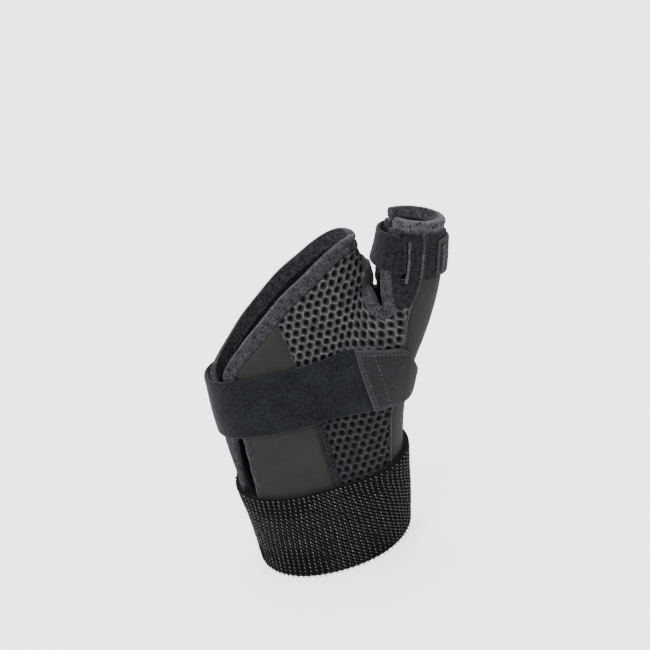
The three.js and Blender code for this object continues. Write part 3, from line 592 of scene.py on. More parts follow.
def makeFinishes():
    # smooth knit laminated on foam: nearly even, matte, with a faint grain drawn at 0.5 mm
    clothFinish("laminatedKnit", {"dark": "242423", "light": "30302e", "worn": "3d3d3b", "grain": .5,
                                  "mottle": 18, "speckle": .5, "relief": .05, "rough": .7, "sheen": .06,
                                  "gloss": .22})
    # brushed loop lining that faces inward
    clothFinish("brushedLining", {"dark": "0e0e0f", "light": "1d1d1f", "worn": "232325", "grain": .8,
                                  "mottle": 9, "speckle": .7, "relief": .3, "rough": .95, "sheen": .2,
                                  "gloss": .12})
    # warp-knit spacer fabric: a net of grey yarn round dark holes
    tree, shader, fine = clothFinish("spacerKnit", {
        "dark": "1d1d1e", "light": "373738", "worn": "2c2c2d", "grain": .55, "mottle": 5, "speckle": .8,
        "relief": .25, "rough": .85, "sheen": .15, "gloss": .2})
    # painted shade: near black in the holes, and darker on the mesh below the wrist strap
    for mark, colour in (("ridge", "6c6d70"), ("holeDipShade", "030303"), ("belowStrapShade", "0a0a0b")):
        value = addNode(tree, "ShaderNodeAttribute", attribute_name=mark)
        overColour(tree, shader, value.outputs["Fac"], colour)
    # brushed tricot folded over the edges: velvety, with lighter fibre tips
    clothFinish("brushedTricot", {"dark": "030304", "light": "505155", "worn": "38393b", "grain": .95,
                                  "mottle": 3.2, "speckle": .7, "relief": .5, "rough": .95, "sheen": .25,
                                  "gloss": .12})
    # fleece round the thumb opening: greyer and coarser
    clothFinish("speckledFleece", {"dark": "0c0c0e", "light": "636468", "worn": "4b4c50", "grain": 1.0,
                                   "mottle": 3.5, "speckle": .7, "relief": .55, "rough": .95, "sheen": .25,
                                   "gloss": .12})
    # unbroken loop pile, near black with grey loop tips
    clothFinish("loopPile", {"dark": "020203", "light": "303034", "worn": "1f1f22", "grain": .95,
                             "mottle": 4, "speckle": .8, "relief": .5, "rough": .97, "sheen": .2,
                             "gloss": .1})
    # woven elastic with a brushed face: blue-black, fine weft lines drawn at 1 mm
    tree, shader, fine = clothFinish("brushedElastic", {
        "dark": "030406", "light": "27292f", "worn": "1c1e24", "grain": .8, "mottle": 11, "speckle": .75,
        "relief": .2, "rough": .9, "sheen": .3, "gloss": .12})
    cut = cutCoordinates(tree)
    addRelief(tree, shader, ripple(tree, cut.outputs["X"], 1.0), .05)
    # ribbed knit elastic: the ground between the raised loops
    clothFinish("ribbedKnit", {"dark": "020202", "light": "0b0b0c", "worn": "141415", "grain": .6,
                               "mottle": 8, "speckle": .7, "relief": .3, "rough": .9, "sheen": .04,
                               "gloss": .15})
    # woven backing of the fastening tabs: fine cross ribs, 1.15 mm apart, over a weave
    tree, shader, fine = clothFinish("ribbedBacking", {
        "dark": "18191b", "light": "292a2d", "worn": "4a4c4f", "grain": .5, "mottle": 10, "speckle": .6,
        "relief": .1, "rough": .8, "sheen": .1, "gloss": .25})
    cut = cutCoordinates(tree)
    addRelief(tree, shader, ripple(tree, cut.outputs["Y"], 1.15), .2)
    addRelief(tree, shader, ripple(tree, cut.outputs["X"], .9), .06)
    # sewing threads of spun polyester, then the cuff's loop yarn and its darker copy, painted shade for
    # the loops in the grooves
    for name, dark, light in (("paleThread", "3c3d3f", "77787b"), ("greyThread", "1f2022", "3d3e41"),
                              ("darkThread", "111112", "232325"), ("loopYarn", "1c1c1b", "90908a"),
                              ("grooveShadeYarn", "101010", "434342")):
        clothFinish(name, {"dark": dark, "light": light, "worn": light, "grain": .4, "mottle": 3,
                           "speckle": .5, "relief": .05, "rough": .7, "sheen": .08, "gloss": .3})


makeFinishes()
print("finishes made:", len(finishes))

# edges that the panels share
palmTrim = {"width": 6.8, "thick": 3.0, "puckerPitch": 4.9, "puckerDepth": .95}
wingStart = {-1: [(-.87, .386, .24), (-.905, .43, .63), (-.93, .475, .95), (-.925, .503, 1)],
             1: [(-1.6, .345, .12), (-1.54, .4, .62), (-1.38, .44, .9), (-1.17, .472, 1),
                 (-1.0, .503, 1)]}
palmEdgeRows = [(-.815, .542, 1), (-.63, .582, 1), (-.32, .645, 1), (-.02, .703, 1), (.25, .742, 1),
                (.53, .782, 1), (.82, .806, 1), (1.0, .807, 1), (1.12, .801, 1)]
wingEdge = {-1: asCurve([(-.15, -.82), (.4, -.82)]),
            1: asCurve([(-.15, -1.36), (.12, -1.43), (.18, -1.476), (.29, -1.565), (.345, -1.575)])}


def palmEdge(side, perRow=8):
    rows = wingStart[side] + palmEdgeRows
    last = len(rows) - 1
    along = through([(i, out(x), up(z), w * palmTrim["width"]) for i, (x, z, w) in enumerate(rows)])
    t = np.linspace(0, last, perRow * last + 1)
    q, a, b = along(t), along(np.maximum(t - .05, 0)), along(np.minimum(t + .05, last))
    way = unit((b - a)[:, :2])
    nx, nz = way[:, 1].copy(), -way[:, 0]
    q[-1, 0], nx[-1], nz[-1] = indexMiddle, 0, -1
    return q, nx, nz


def panelTop(side):
    q, nx, nz = palmEdge(side)
    reach = q[:, 2] + seamGap
    x, z = q[:, 0] + nx * reach, q[:, 1] + nz * reach
    first = [i for i in range(len(x)) if i == 0 or x[:i].max() < x[i] - 1e-3]
    return lambda where: np.interp(where, x[first], z[first])


topAt = {side: panelTop(side) for side in (-1, 1)}
rimFoot, rimTurn = up(.812), -51
thumbTrim = {"width": 5.6, "thick": 3.0}
panelFoot = up(.114) - 27


def smoothPath(points, count):  # a smooth curve through points, evenly spaced
    p = np.array(points)
    p = np.vstack([2 * p[0] - p[1], p, 2 * p[-1] - p[-2]])
    d = np.sqrt(np.linalg.norm(np.diff(p, axis=0), axis=1))
    fine, marks = [], []
    for i in range(len(p) - 3):
        a, b, c, e = p[i:i + 4]
        m0 = ((b - a) / d[i] - (c - a) / (d[i] + d[i + 1]) + (c - b) / d[i + 1]) * d[i + 1]
        m1 = ((c - b) / d[i + 1] - (e - b) / (d[i + 1] + d[i + 2]) + (e - c) / d[i + 2]) * d[i + 1]
        u = np.linspace(0, 1, 25)[:-1, None]
        marks.append(len(fine) * 24)
        fine.append(hermite(u, b, c, m0, m1))
    fine = np.vstack([*fine, p[-2:-1]])
    at = np.concatenate([[0], np.cumsum(np.linalg.norm(np.diff(fine, axis=0), axis=1))])
    even = np.linspace(0, at[-1], count)
    spots = np.stack([np.interp(even, at, fine[:, k]) for k in range(3)], 1)
    return spots, unit(np.gradient(spots, axis=0)), np.array([at[m] for m in marks]) / at[-1]


webArm = [(90, .715), (83, .708), (77, .697), (72, .68), (69, .662)]
thumbArm = [(-36, .638), (-41, .658), (-46, .68), (-49, .705), (-50, .75)]
footX, footZ, footRadius = out(1.108), up(.624), thumbTrim["width"] * .62


def thumbHole(side, count=61):
    turn, z = np.radians([t for t, _ in webArm]), up(np.array([h for _, h in webArm]))
    start = np.stack([indexFocus + 0 * z, 0 * z, z], -1)
    points = list(outTo(palmForm, start, np.stack([np.sin(turn), side * np.cos(turn), 0 * z], -1))[0])
    footFrom = len(points)
    for angle in np.radians(range(180, 361, 30)):
        x, z = footX + footRadius * math.cos(angle), footZ + footRadius * math.sin(angle)
        form = palmForm if angle < math.radians(269) else thumbForm
        start = np.array([[x, spineAt(z)[1], z]])
        points.append(outTo(form, start, np.array([[0, side, 0.]]))[0][0])
    for turn, z in thumbArm:
        points.append(radialAt([turn if side < 0 else 180 - turn], [up(z)])[0][0])
    points.append(radialAt([rimTurn + 5 if side < 0 else 175 - rimTurn], [rimFoot - seamGap])[0][0])
    spots, ahead, marks = smoothPath(points, count)
    onPalm = np.linspace(0, 1, count) < marks[footFrom + 3] + .01
    ahead[0] = (0, math.copysign(1, ahead[0, 1]), 0)

    def rest(q):
        a, b = settle(palmForm, q), settle(thumbForm, q)
        pick = onPalm.reshape(-1, *[1] * (q.ndim - 1))
        return np.where(pick, a[0], b[0]), np.where(pick, a[1], b[1])
    p, n = rest(spots)
    sideways = unit(np.cross(ahead, n)) * (-1 if side > 0 else 1)
    return {"p": p, "n": n, "sideways": sideways, "rest": rest, "onPalm": onPalm}


holes = {side: thumbHole(side) for side in (-1, 1)}


def holeAcross(hole, shares):  # points beside the thumb opening's middle line, on the form
    away = np.array(shares) * thumbTrim["width"] / 2
    q = hole["p"][:, None] + hole["sideways"][:, None] * away[:, None]
    return hole["rest"](q)


def declareCloth(piece, dense, lift, keep=None):
    p = (dense[0] + dense[1] * lift) * .001  # the cut is measured at the middle of the cloth
    a = np.linalg.norm(np.cross(p[1:, 1:] - p[:-1, :-1], p[1:, :-1] - p[:-1, 1:]), axis=-1) / 2
    keep = np.ones(a.shape, bool) if keep is None else keep
    wide = (np.linalg.norm(p[:-1, 1:] - p[:-1, :-1], axis=-1) * keep).sum(1).max()
    tall = (np.linalg.norm(p[1:, :-1] - p[:-1, :-1], axis=-1) * keep).sum(0).max()
    area = float(a[keep].sum())
    wide, tall = max(wide, .01), max(tall, .01)
    area = min(max(area, .3 * wide * tall), wide * tall)
    print("cut:", piece.name, round(wide * 1000), "x", round(tall * 1000), "mm")


# sewing threads: one tree lays a thread on every point of a seam
def stitchTree():
    tree = bpy.data.node_groups.new("laidThreads", "GeometryNodeTree")
    face = tree.interface
    face.new_socket("Seam", in_out="INPUT", socket_type="NodeSocketGeometry")
    for name in ("Thread Length", "Thread Width", "Thread Height"):
        face.new_socket(name, in_out="INPUT", socket_type="NodeSocketFloat")
    face.new_socket("Thread", in_out="INPUT", socket_type="NodeSocketMaterial")
    face.new_socket("Stitches", in_out="OUTPUT", socket_type="NodeSocketGeometry")
    given = addNode(tree, "NodeGroupInput")
    ball = addNode(tree, "GeometryNodeMeshUVSphere", {"Segments": 6, "Rings": 5, "Radius": .5})
    size = addNode(tree, "ShaderNodeCombineXYZ", {"X": given.outputs["Thread Length"],
                                                  "Y": given.outputs["Thread Width"],
                                                  "Z": given.outputs["Thread Height"]})
    round1 = addNode(tree, "GeometryNodeSetShadeSmooth", {"Geometry": ball.outputs["Mesh"]})
    thread = addNode(tree, "GeometryNodeTransform", {"Geometry": round1.outputs["Geometry"],
                                                     "Scale": size.outputs[0]})
    run = addNode(tree, "GeometryNodeInputNamedAttribute", {"Name": "run"}, data_type="FLOAT_VECTOR")
    outward = addNode(tree, "GeometryNodeInputNamedAttribute", {"Name": "outward"},
                      data_type="FLOAT_VECTOR")
    turn = addNode(tree, "FunctionNodeAxesToRotation", {0: outward.outputs["Attribute"],
                                                        1: run.outputs["Attribute"]},
                   primary_axis="Z", secondary_axis="X")
    laid = addNode(tree, "GeometryNodeInstanceOnPoints", {"Points": given.outputs["Seam"],
                                                          "Instance": thread.outputs["Geometry"],
                                                          "Rotation": turn.outputs[0]})
    real = addNode(tree, "GeometryNodeRealizeInstances", {"Geometry": laid.outputs["Instances"]})
    painted = addNode(tree, "GeometryNodeSetMaterial", {"Geometry": real.outputs["Geometry"],
                                                        "Material": given.outputs["Thread"]})
    addNode(tree, "NodeGroupOutput", {"Stitches": painted.outputs["Geometry"]})
    return tree


threadLayer = stitchTree()


def layThreads(name, spots, runs, outward, size, thread):
    mesh = bpy.data.meshes.new(name + "Seam")
    mesh.from_pydata((spots * .001).tolist(), [], [])
    for key, value in (("run", runs), ("outward", outward)):
        layer = mesh.attributes.new(key, "FLOAT_VECTOR", "POINT")
        layer.data.foreach_set("vector", np.asarray(unit(value), np.float32).ravel())
    seam = bpy.data.objects.new(name + "Seam", mesh)
    bpy.context.scene.collection.objects.link(seam)
    modifier = seam.modifiers.new("threads", "NODES")
    modifier.node_group = threadLayer
    sockets = {s.name: s.identifier for s in threadLayer.interface.items_tree if s.in_out == "INPUT"}
    for key, value in zip(("Thread Length", "Thread Width", "Thread Height"), size):
        modifier[sockets[key]] = value * .001
    modifier[sockets["Thread"]] = finishes[thread]
    graph = bpy.context.evaluated_depsgraph_get()
    made = bpy.data.meshes.new_from_object(seam.evaluated_get(graph))
    seam.modifiers.clear()
    bpy.data.objects.remove(seam)
    piece = bpy.data.objects.new(name, made)
    made.name = name
    bpy.context.scene.collection.objects.link(piece)
    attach(piece, "root")
    return piece


def evenly(path, normals, spacing):
    at = np.concatenate([[0], np.cumsum(np.linalg.norm(np.diff(path, axis=0), axis=1))])
    s = np.arange(0, at[-1], spacing)
    p = np.stack([np.interp(s, at, path[:, k]) for k in range(3)], 1)
    n = unit(np.stack([np.interp(s, at, normals[:, k]) for k in range(3)], 1))
    return p, n


def zigzag(name, path, normals, pitch, width, thread, thick=.34):
    p, n = evenly(path, normals, pitch / 2)
    side = unit(np.cross(np.gradient(p, axis=0), n))
    corner = p + side * (width / 2 * np.where(np.arange(len(p)) % 2 == 0, 1, -1))[:, None]
    runs = np.diff(corner, axis=0)
    size = (float(np.linalg.norm(runs, axis=1).mean()) * 1.06, thick, thick * .8)
    middle, outward = (corner[1:] + corner[:-1]) / 2, (n[1:] + n[:-1]) / 2
    return layThreads(name, middle, runs, outward, size, thread)


def runningStitch(name, path, normals, pitch, thread, share=.66, thick=.34):
    p, n = evenly(path, normals, pitch)
    size = (pitch * share, thick, thick * .75)
    return layThreads(name, p, np.gradient(p, axis=0), n, size, thread)


# smooth laminate panels
laminatePanel = {"pitch": 1.1, "waveHeight": .16, "waveLength": 21, "seamSink": .55, "underTrim": .8}


def seamSink(p, gap, width=2.4):  # the pull of the seam on the foam
    return -laminatePanel["seamSink"] * np.exp(-(gap / width) ** 2)


def sidePatch(side, title):
    u, v = np.linspace(0, 1, 10), np.linspace(0, 1, 22)

    def across(z):
        return wingEdge[side](z) + (patchSeam(z) - seamGap / 2 - wingEdge[side](z)) * u
    top, _ = halve(np.full(10, up(.2)), np.full(10, up(.8)),
                   lambda z: z < topAt[side](across(z)) + laminatePanel["underTrim"], 22)
    z = panelFoot + (top - panelFoot)[None, :] * v[:, None]
    x = np.stack([across(row) for row in z])
    dense = denseGrid(palmAt(side, x, z), laminatePanel["pitch"])
    wide = lengthsAlong(dense[0], 1)
    gap = wide[:, -1:] - wide
    high = panelHigh + wave(dense[0], laminatePanel["waveLength"], 3) * laminatePanel["waveHeight"]
    high = high + seamSink(dense[0], gap)
    piece = clothLayer(title + "PatchPanel", dense, panelLow, high,
                       ["laminatedKnit", "brushedLining"])
    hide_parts(title + "_patch")
    declareCloth(piece, dense, panelMiddle)


def radialCover():
    h, u = np.linspace(panelFoot, rimFoot - seamGap, 40), np.linspace(0, 1, 12)
    radius = radiusAt(60, h)
    back = turnFor(seamGap / 2, radius)
    start, stop = seamTurn(-1, h) + back, seamTurn(1, h) - back
    turn = start[:, None] + (stop - start)[:, None] * u
    dense = denseGrid(radialAt(turn, h[:, None] + 0 * turn), laminatePanel["pitch"])
    wide = lengthsAlong(dense[0], 1)
    gap = np.minimum(wide, wide[:, -1:] - wide)
    high = panelHigh + wave(dense[0], 26, 8) * .14 + seamSink(dense[0], gap, 1.6)
    piece = clothLayer("radialStayPanel", dense, panelLow, high,
                       ["laminatedKnit", "brushedLining"])
    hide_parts("radial_panel")
    declareCloth(piece, dense, panelMiddle)


# spacer mesh: a lattice of slanted oval holes, cut to the trims and seams
spacerMesh = {"pitch": {-1: .38, 1: .42}, "holeAcross": 3.8, "holeUp": 3.6, "shift": .56, "lean": 58,
              "longHalf": 1.5, "shortHalf": .95, "depth": 1.2, "ridge": .4, "yarn": .55,
              "underTrim": .7}


def spacerPanel(side, title):
    s = spacerMesh
    span, foot, head = 70, panelFoot, up(.812) + 1
    coarseX, coarseZ = np.linspace(0, span, 52), np.linspace(foot, head, 96)
    z = coarseZ[:, None] + 0 * coarseX
    x = patchSeam(z) + seamGap / 2 + coarseX
    stop = np.where(z < slitFloor, radialSeam(np.minimum(z, slitFloor)) - seamGap / 2, indexMiddle + 9)
    p, n = palmAt(side, np.minimum(x, indexMiddle + 20), z)
    rows = np.linspace(0, 95, int((head - foot) / s["pitch"][side]))
    columns = np.linspace(0, 51, int(span / s["pitch"][side]))
    both = refine(np.concatenate([p, n, x[..., None], z[..., None], stop[..., None]], -1), rows, columns)
    p, n, x, z, stop = both[..., :3], unit(both[..., 3:6]), both[..., 6], both[..., 7], both[..., 8]
    # the last column of each row lies on the radial seam
    beyond = (z < slitFloor) & (p[..., 0] > radialSeam(p[..., 2]) - seamGap / 2)
    lastIn = np.argmax(beyond, axis=1)
    for r in np.flatnonzero(beyond.any(1)):
        k = lastIn[r]
        if k > 0:
            t = (radialSeam(p[r, k, 2]) - seamGap / 2 - p[r, k - 1, 0]) / (p[r, k, 0] - p[r, k - 1, 0])
            p[r, k] = p[r, k - 1] + (p[r, k] - p[r, k - 1]) * np.clip(t, .05, 1)
    inside = ~beyond
    for r in np.flatnonzero(beyond.any(1)):
        inside[r, lastIn[r]] = True
        inside[r, lastIn[r] + 1:] = False
    inside &= z < topAt[side](x) + s["underTrim"]
    inside &= (x < indexMiddle + .01) | (z < rowHeight(up(.614) - seamGap, p[..., 0]))
    inside &= (x < indexMiddle + .01) | (z < slitFloor + 4)
    line = np.concatenate([holes[side]["p"], holes[-side]["p"][:3]])
    near = np.full(x.shape, 1e3)
    for a, b in zip(line[:-1], line[1:]):
        way = b - a
        t = np.clip((p - a) @ way / max(way @ way, 1e-9), 0, 1)
        near = np.minimum(near, np.linalg.norm(p - a - t[..., None] * way, axis=-1))
    inside &= near > thumbTrim["width"] / 2 - s["underTrim"]
    cell = inside[:-1, :-1] & inside[1:, :-1] & inside[:-1, 1:] & inside[1:, 1:]
    # keep the part that hangs together with the foot
    kept = np.zeros_like(cell)
    kept[0] = cell[0]
    while True:
        grown = kept.copy()
        grown[1:] |= kept[:-1]
        grown[:-1] |= kept[1:]
        grown[:, 1:] |= kept[:, :-1]
        grown[:, :-1] |= kept[:, 1:]
        grown &= cell
        if (grown == kept).all():
            break
        kept = grown
    along = lengthsAlong(p, 1)
    lean = math.radians(s["lean"])
    row = np.floor(z / s["holeUp"])
    near = np.full((2, *x.shape), 9.)
    for dr in (-1, 0, 1, 2):
        dz = z - (row + dr) * s["holeUp"]
        offset = along - (row + dr) * s["shift"] * s["holeAcross"]
        nearest = (offset + s["holeAcross"] / 2) % s["holeAcross"] - s["holeAcross"] / 2
        for dx in (nearest, nearest - np.sign(nearest) * s["holeAcross"]):
            long = dx * math.cos(lean) + dz * math.sin(lean)
            short = -dx * math.sin(lean) + dz * math.cos(lean)
            far = np.sqrt((long / s["longHalf"]) ** 2 + (short / s["shortHalf"]) ** 2)
            near = np.sort(np.stack([*near, far]), axis=0)[:2]
    # holeDipShade sinks the cloth in each hole and also paints the hole near black there, as painted shade
    holeDipShade = 1 - ease(near[0], .62, 1.12)
    ridge = np.exp(-((near[1] - near[0]) / s["yarn"]) ** 2)
    ridge = ridge * np.clip(.62 + .62 * fuzz(p, .85, 25), 0, 1)
    # painted shade: the mesh below the wrist strap is darkened, fading out under the strap
    belowStrapShade = .62 * (1 - ease(z, up(.3), up(.42)))
    high = panelHigh - .25 - s["depth"] * holeDipShade + s["ridge"] * ridge
    high = high + fuzz(p, 1.1, 5) * .1 + wave(p, 19, 5) * .12
    piece = clothLayer(title + "SpacerPanel", (p, n), panelLow, high,
                       ["spacerKnit", "brushedLining"], kept, edge=0,
                       marks={"holeDipShade": holeDipShade, "ridge": ridge, "belowStrapShade": belowStrapShade})
    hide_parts(title + "_mesh")
    declareCloth(piece, (p, n), panelMiddle, kept)
    return piece


# binding round the palm edge: a rolled lip and a puckered, zigzag-sewn band
def palmBinding():
    t = palmTrim
    shares = np.array([0, .02, .06, .12, .2, .28, .33, .38, .46, .56, .68, .8, .9, .96, 1])
    lifts = np.array([.3, .62, .85, 1.0, 1.05, .97, .82, .78, .86, .95, .98, .94, .84, .68, .45])

    def half(side):
        q, nx, nz = palmEdge(side, 6)
        a = shares[None, ::2] * q[:, 2:3]
        return palmAt(side, q[:, :1] + nx[:, None] * a, q[:, 1:2] + nz[:, None] * a)
    one, two = half(-1), half(1)
    p = np.concatenate([one[0], two[0][:-1][::-1]])
    n = np.concatenate([one[1], two[1][:-1][::-1]])
    long = lengthsAlong(p, 0)[-1].mean()
    p, n = refineBoth(p, n, np.linspace(0, len(p) - 1, int(long / .6)),
                      np.interp(np.linspace(0, 1, 30), shares[::2], np.arange(8)))
    share = np.linspace(0, 1, 30)
    s = lengthsAlong(p, 0)[:, 15][:, None]
    drift = .8 * np.sin(s / 9.1) + 1.2 * (share - .7)
    puff = np.sin(np.pi * (s + drift) / t["puckerPitch"]) ** 2
    band = ease(share, .42, .6) * (1 - ease(share, .9, 1.02))
    pucker = t["puckerDepth"] * band * (1 - puff) ** 1.6
    lift = .2 + np.interp(share, shares, lifts) * t["thick"] - pucker
    lift = lift + .12 * np.exp(-((share - .17) / .1) ** 2) * np.sin(s / 5.3)
    taper = np.minimum(1, np.linalg.norm(p[:, -1] - p[:, 0], axis=1) / t["width"])[:, None]
    lift = .2 + (lift - .2) * (.55 + .45 * taper)
    lift = lift + fuzz(p, .9, 2) * .13 * (share > .05) * (share < .97)
    piece = clothLayer("palmTrim", (p, n), .2, lift, ["brushedTricot"], edge=0)
    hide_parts("edge_binding")
    top = p + n * (lift[..., None] + .02)
    zigzag("palmTrimStitches", top[4:-4, 21], n[4:-4, 21], t["puckerPitch"] / 2, 3.1, "greyThread", .3)
    runningStitch("palmTrimEdgeStitches", top[3:-3, 28], n[3:-3, 28], 1.6, "darkThread", .7, .34)


def thumbHoleBinding():
    shares = np.linspace(-1, 1, 26)
    profile = np.interp(shares, [-1, -.97, -.9, -.78, -.6, -.35, -.2, -.05, .3, .7, .88, .96, 1],
                        [.3, .6, .82, .97, 1.03, .97, .86, .9, .95, .92, .84, .7, .5])
    one, two = holeAcross(holes[-1], shares), holeAcross(holes[1], shares)
    p = np.concatenate([one[0][::-1], two[0][1:]])
    n = np.concatenate([one[1][::-1], two[1][1:]])
    p, n = refineBoth(p, n, np.linspace(0, len(p) - 1, len(p) * 3), np.arange(26))
    lift = .2 + profile * thumbTrim["thick"] + fuzz(p, .95, 7) * .14 + fuzz(p, 2.4, 4) * .1
    piece = clothLayer("thumbHoleTrim", (p, n), .2, lift, ["brushedTricot"], edge=0)
    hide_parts("thumb_hole_binding")
    top = p + n * (lift[..., None] + .02)
    runningStitch("thumbHoleStitches", top[3:-3, 20], n[3:-3, 20], 1.9, "greyThread", .6, .3)


rim = {"width": 4.8, "thick": 3.0, "fuzz": .22}


def thumbRimPiece():
    share = np.linspace(0, 1, 22)
    profile = np.interp(share, [0, .03, .1, .22, .42, .6, .8, .92, .97, 1],
                        [.3, .62, .88, 1.04, 1.08, 1.0, .93, .86, .7, .45])
    turn = np.linspace(rimTurn, 180 - rimTurn, 60)
    h = rimFoot + rim["width"] * (1 - share[::3])
    p, n = radialAt(turn[:, None], h[None, :])
    p, n = refineBoth(p, n, np.linspace(0, 59, 200), np.linspace(0, 7, 22))
    lift = .2 + profile * rim["thick"] + fuzz(p, 1.0, 9) * rim["fuzz"] + fuzz(p, 3.1, 6) * .16
    piece = clothLayer("thumbRim", (p, n), .2, lift, ["speckledFleece"], edge=0)
    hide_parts("thumb_rim")
    top = p + n * (lift[..., None] + .02)
    runningStitch("thumbRimStitches", top[2:-2, 18], n[2:-2, 18], 1.7, "darkThread", .62, .32)
    # cord in the seam between the rim and the flaps
    turn = np.linspace(rimTurn + 2, 178 - rimTurn, 90)
    p, n = radialAt(turn, rimFoot - seamGap / 2 + 0 * turn)
    bar("thumbRimCord", p, n, 1.6, 2.3, 1.5, "brushedTricot", "fleece")


# loop-pile flaps of the thumb, with a slot for the strap in each
thumbFlap = {"slotWidth": 2.3, "slotInset": 6.4, "slotLength": 19.4, "overlap": .7}
slotTop = rimFoot - seamGap - 1.6
slotFoot = slotTop - thumbFlap["slotLength"]


def sideTurn(side, turn):
    return turn if side < 0 else 180 - turn


def thumbFlapPiece(side, title):
    h = np.linspace(up(.614) - thumbFlap["overlap"], rimFoot - seamGap, 26)
    radius = radiusAt(sideTurn(side, 10), h)
    arm, _ = holeAcross(holes[side], [1.0])
    arm = arm[~holes[side]["onPalm"], 0]
    armTurn, armH = radialFrom(arm)
    if side > 0:
        armTurn = 180 - np.where(armTurn < 0, armTurn + 360, armTurn)
    order = np.maximum.accumulate(armH)
    start = np.interp(h, order, armTurn) - turnFor(.5, radius)
    start = np.where(h < up(.614), np.maximum(start, np.interp(up(.614), order, armTurn)), start)
    seam = sideTurn(side, seamTurn(side, h))
    stop = seam - turnFor(seamGap / 2, radius)
    u = np.linspace(0, 1, 9)
    turn = start[:, None] + (stop - start)[:, None] * u
    p, n = radialAt(sideTurn(side, turn), h[:, None] + 0 * turn)
    tall, wide = 32.0, 16.0
    rows, columns = np.linspace(0, 25, int(tall / .45)), np.linspace(0, 8, int(wide / .4))
    level = h[:, None] + 0 * turn
    both = refine(np.concatenate([p, n, turn[..., None], level[..., None]], -1), rows, columns)
    p, n, turn, level = both[..., :3], unit(both[..., 3:6]), both[..., 6], both[..., 7]
    radiusHere = np.interp(level, h, radius)
    stopHere = np.interp(level, h, stop)
    slot = stopHere - turnFor(thumbFlap["slotInset"], radiusHere)
    aside = np.radians(turn - slot) * radiusHere
    openHere = np.abs(aside) < thumbFlap["slotWidth"] / 2
    openHere &= (level > slotFoot + 1) & (level < slotTop - 2.2)
    cell = ~(openHere[:-1, :-1] & openHere[1:, 1:])
    high = panelHigh + .12 + fuzz(p, .8, 12) * .2 + fuzz(p, 2.6, 14) * .12
    piece = clothLayer(title + "ThumbFlap", (p, n), panelLow, high,
                       ["loopPile", "brushedLining"], cell, edge=.8)
    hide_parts(title + "_thumb_flap")
    declareCloth(piece, (p, n), panelMiddle,
                 cell)
    # the slot's lip: a grey folded edge with pale stitches on the side of the seam
    lipH = np.linspace(slotFoot - .3, slotTop - 1.2, 40)
    lipRadius = radiusAt(sideTurn(side, 10), lipH)
    lipStop = sideTurn(side, seamTurn(side, lipH)) - turnFor(seamGap / 2, lipRadius)
    middle = lipStop - turnFor(thumbFlap["slotInset"] - thumbFlap["slotWidth"] / 2 - .55, lipRadius)
    bar(title + "SlotLip", *radialAt(sideTurn(side, middle), lipH), 1.25, 1.1, panelHigh + .15,
        "speckledFleece", "loop_pile")
    stitched = middle + turnFor(1.0, lipRadius)
    p, n = radialAt(sideTurn(side, stitched), lipH)
    runningStitch(title + "SlotStitches", p + n * (panelHigh + .38), n, 1.8, "greyThread", .6, .34)


def bar(name, p, n, wide, thick, lift, finish, slot, uneven=0):
    # a flat-oval cord laid along a line on the cloth
    spots, normals = evenly(p, n, .6)
    side = unit(np.cross(np.gradient(spots, axis=0), normals))
    a = np.linspace(0, 2 * np.pi, 17)[:-1]
    small = np.minimum(1, np.minimum(np.arange(len(spots)), np.arange(len(spots))[::-1]) / 1.5 + .35)
    rings = spots[:, None] + side[:, None] * (np.cos(a) * wide / 2)[:, None] * small[:, None, None] \
        + normals[:, None] * (lift + np.sin(a) * thick / 2 * small[:, None])[..., None]
    if uneven:
        outward = unit(rings - rings.mean(1, keepdims=True))
        rings = rings + outward * (fuzz(rings, 1.7, 33) * uneven)[..., None]
    piece = tubeAlong(name, rings, [finish])
    return piece


# seams
seamWork = {"zigzagPitch": 2.5, "zigzagWidth": 2.6, "edgePitch": 2.2, "edgeWidth": 1.7}


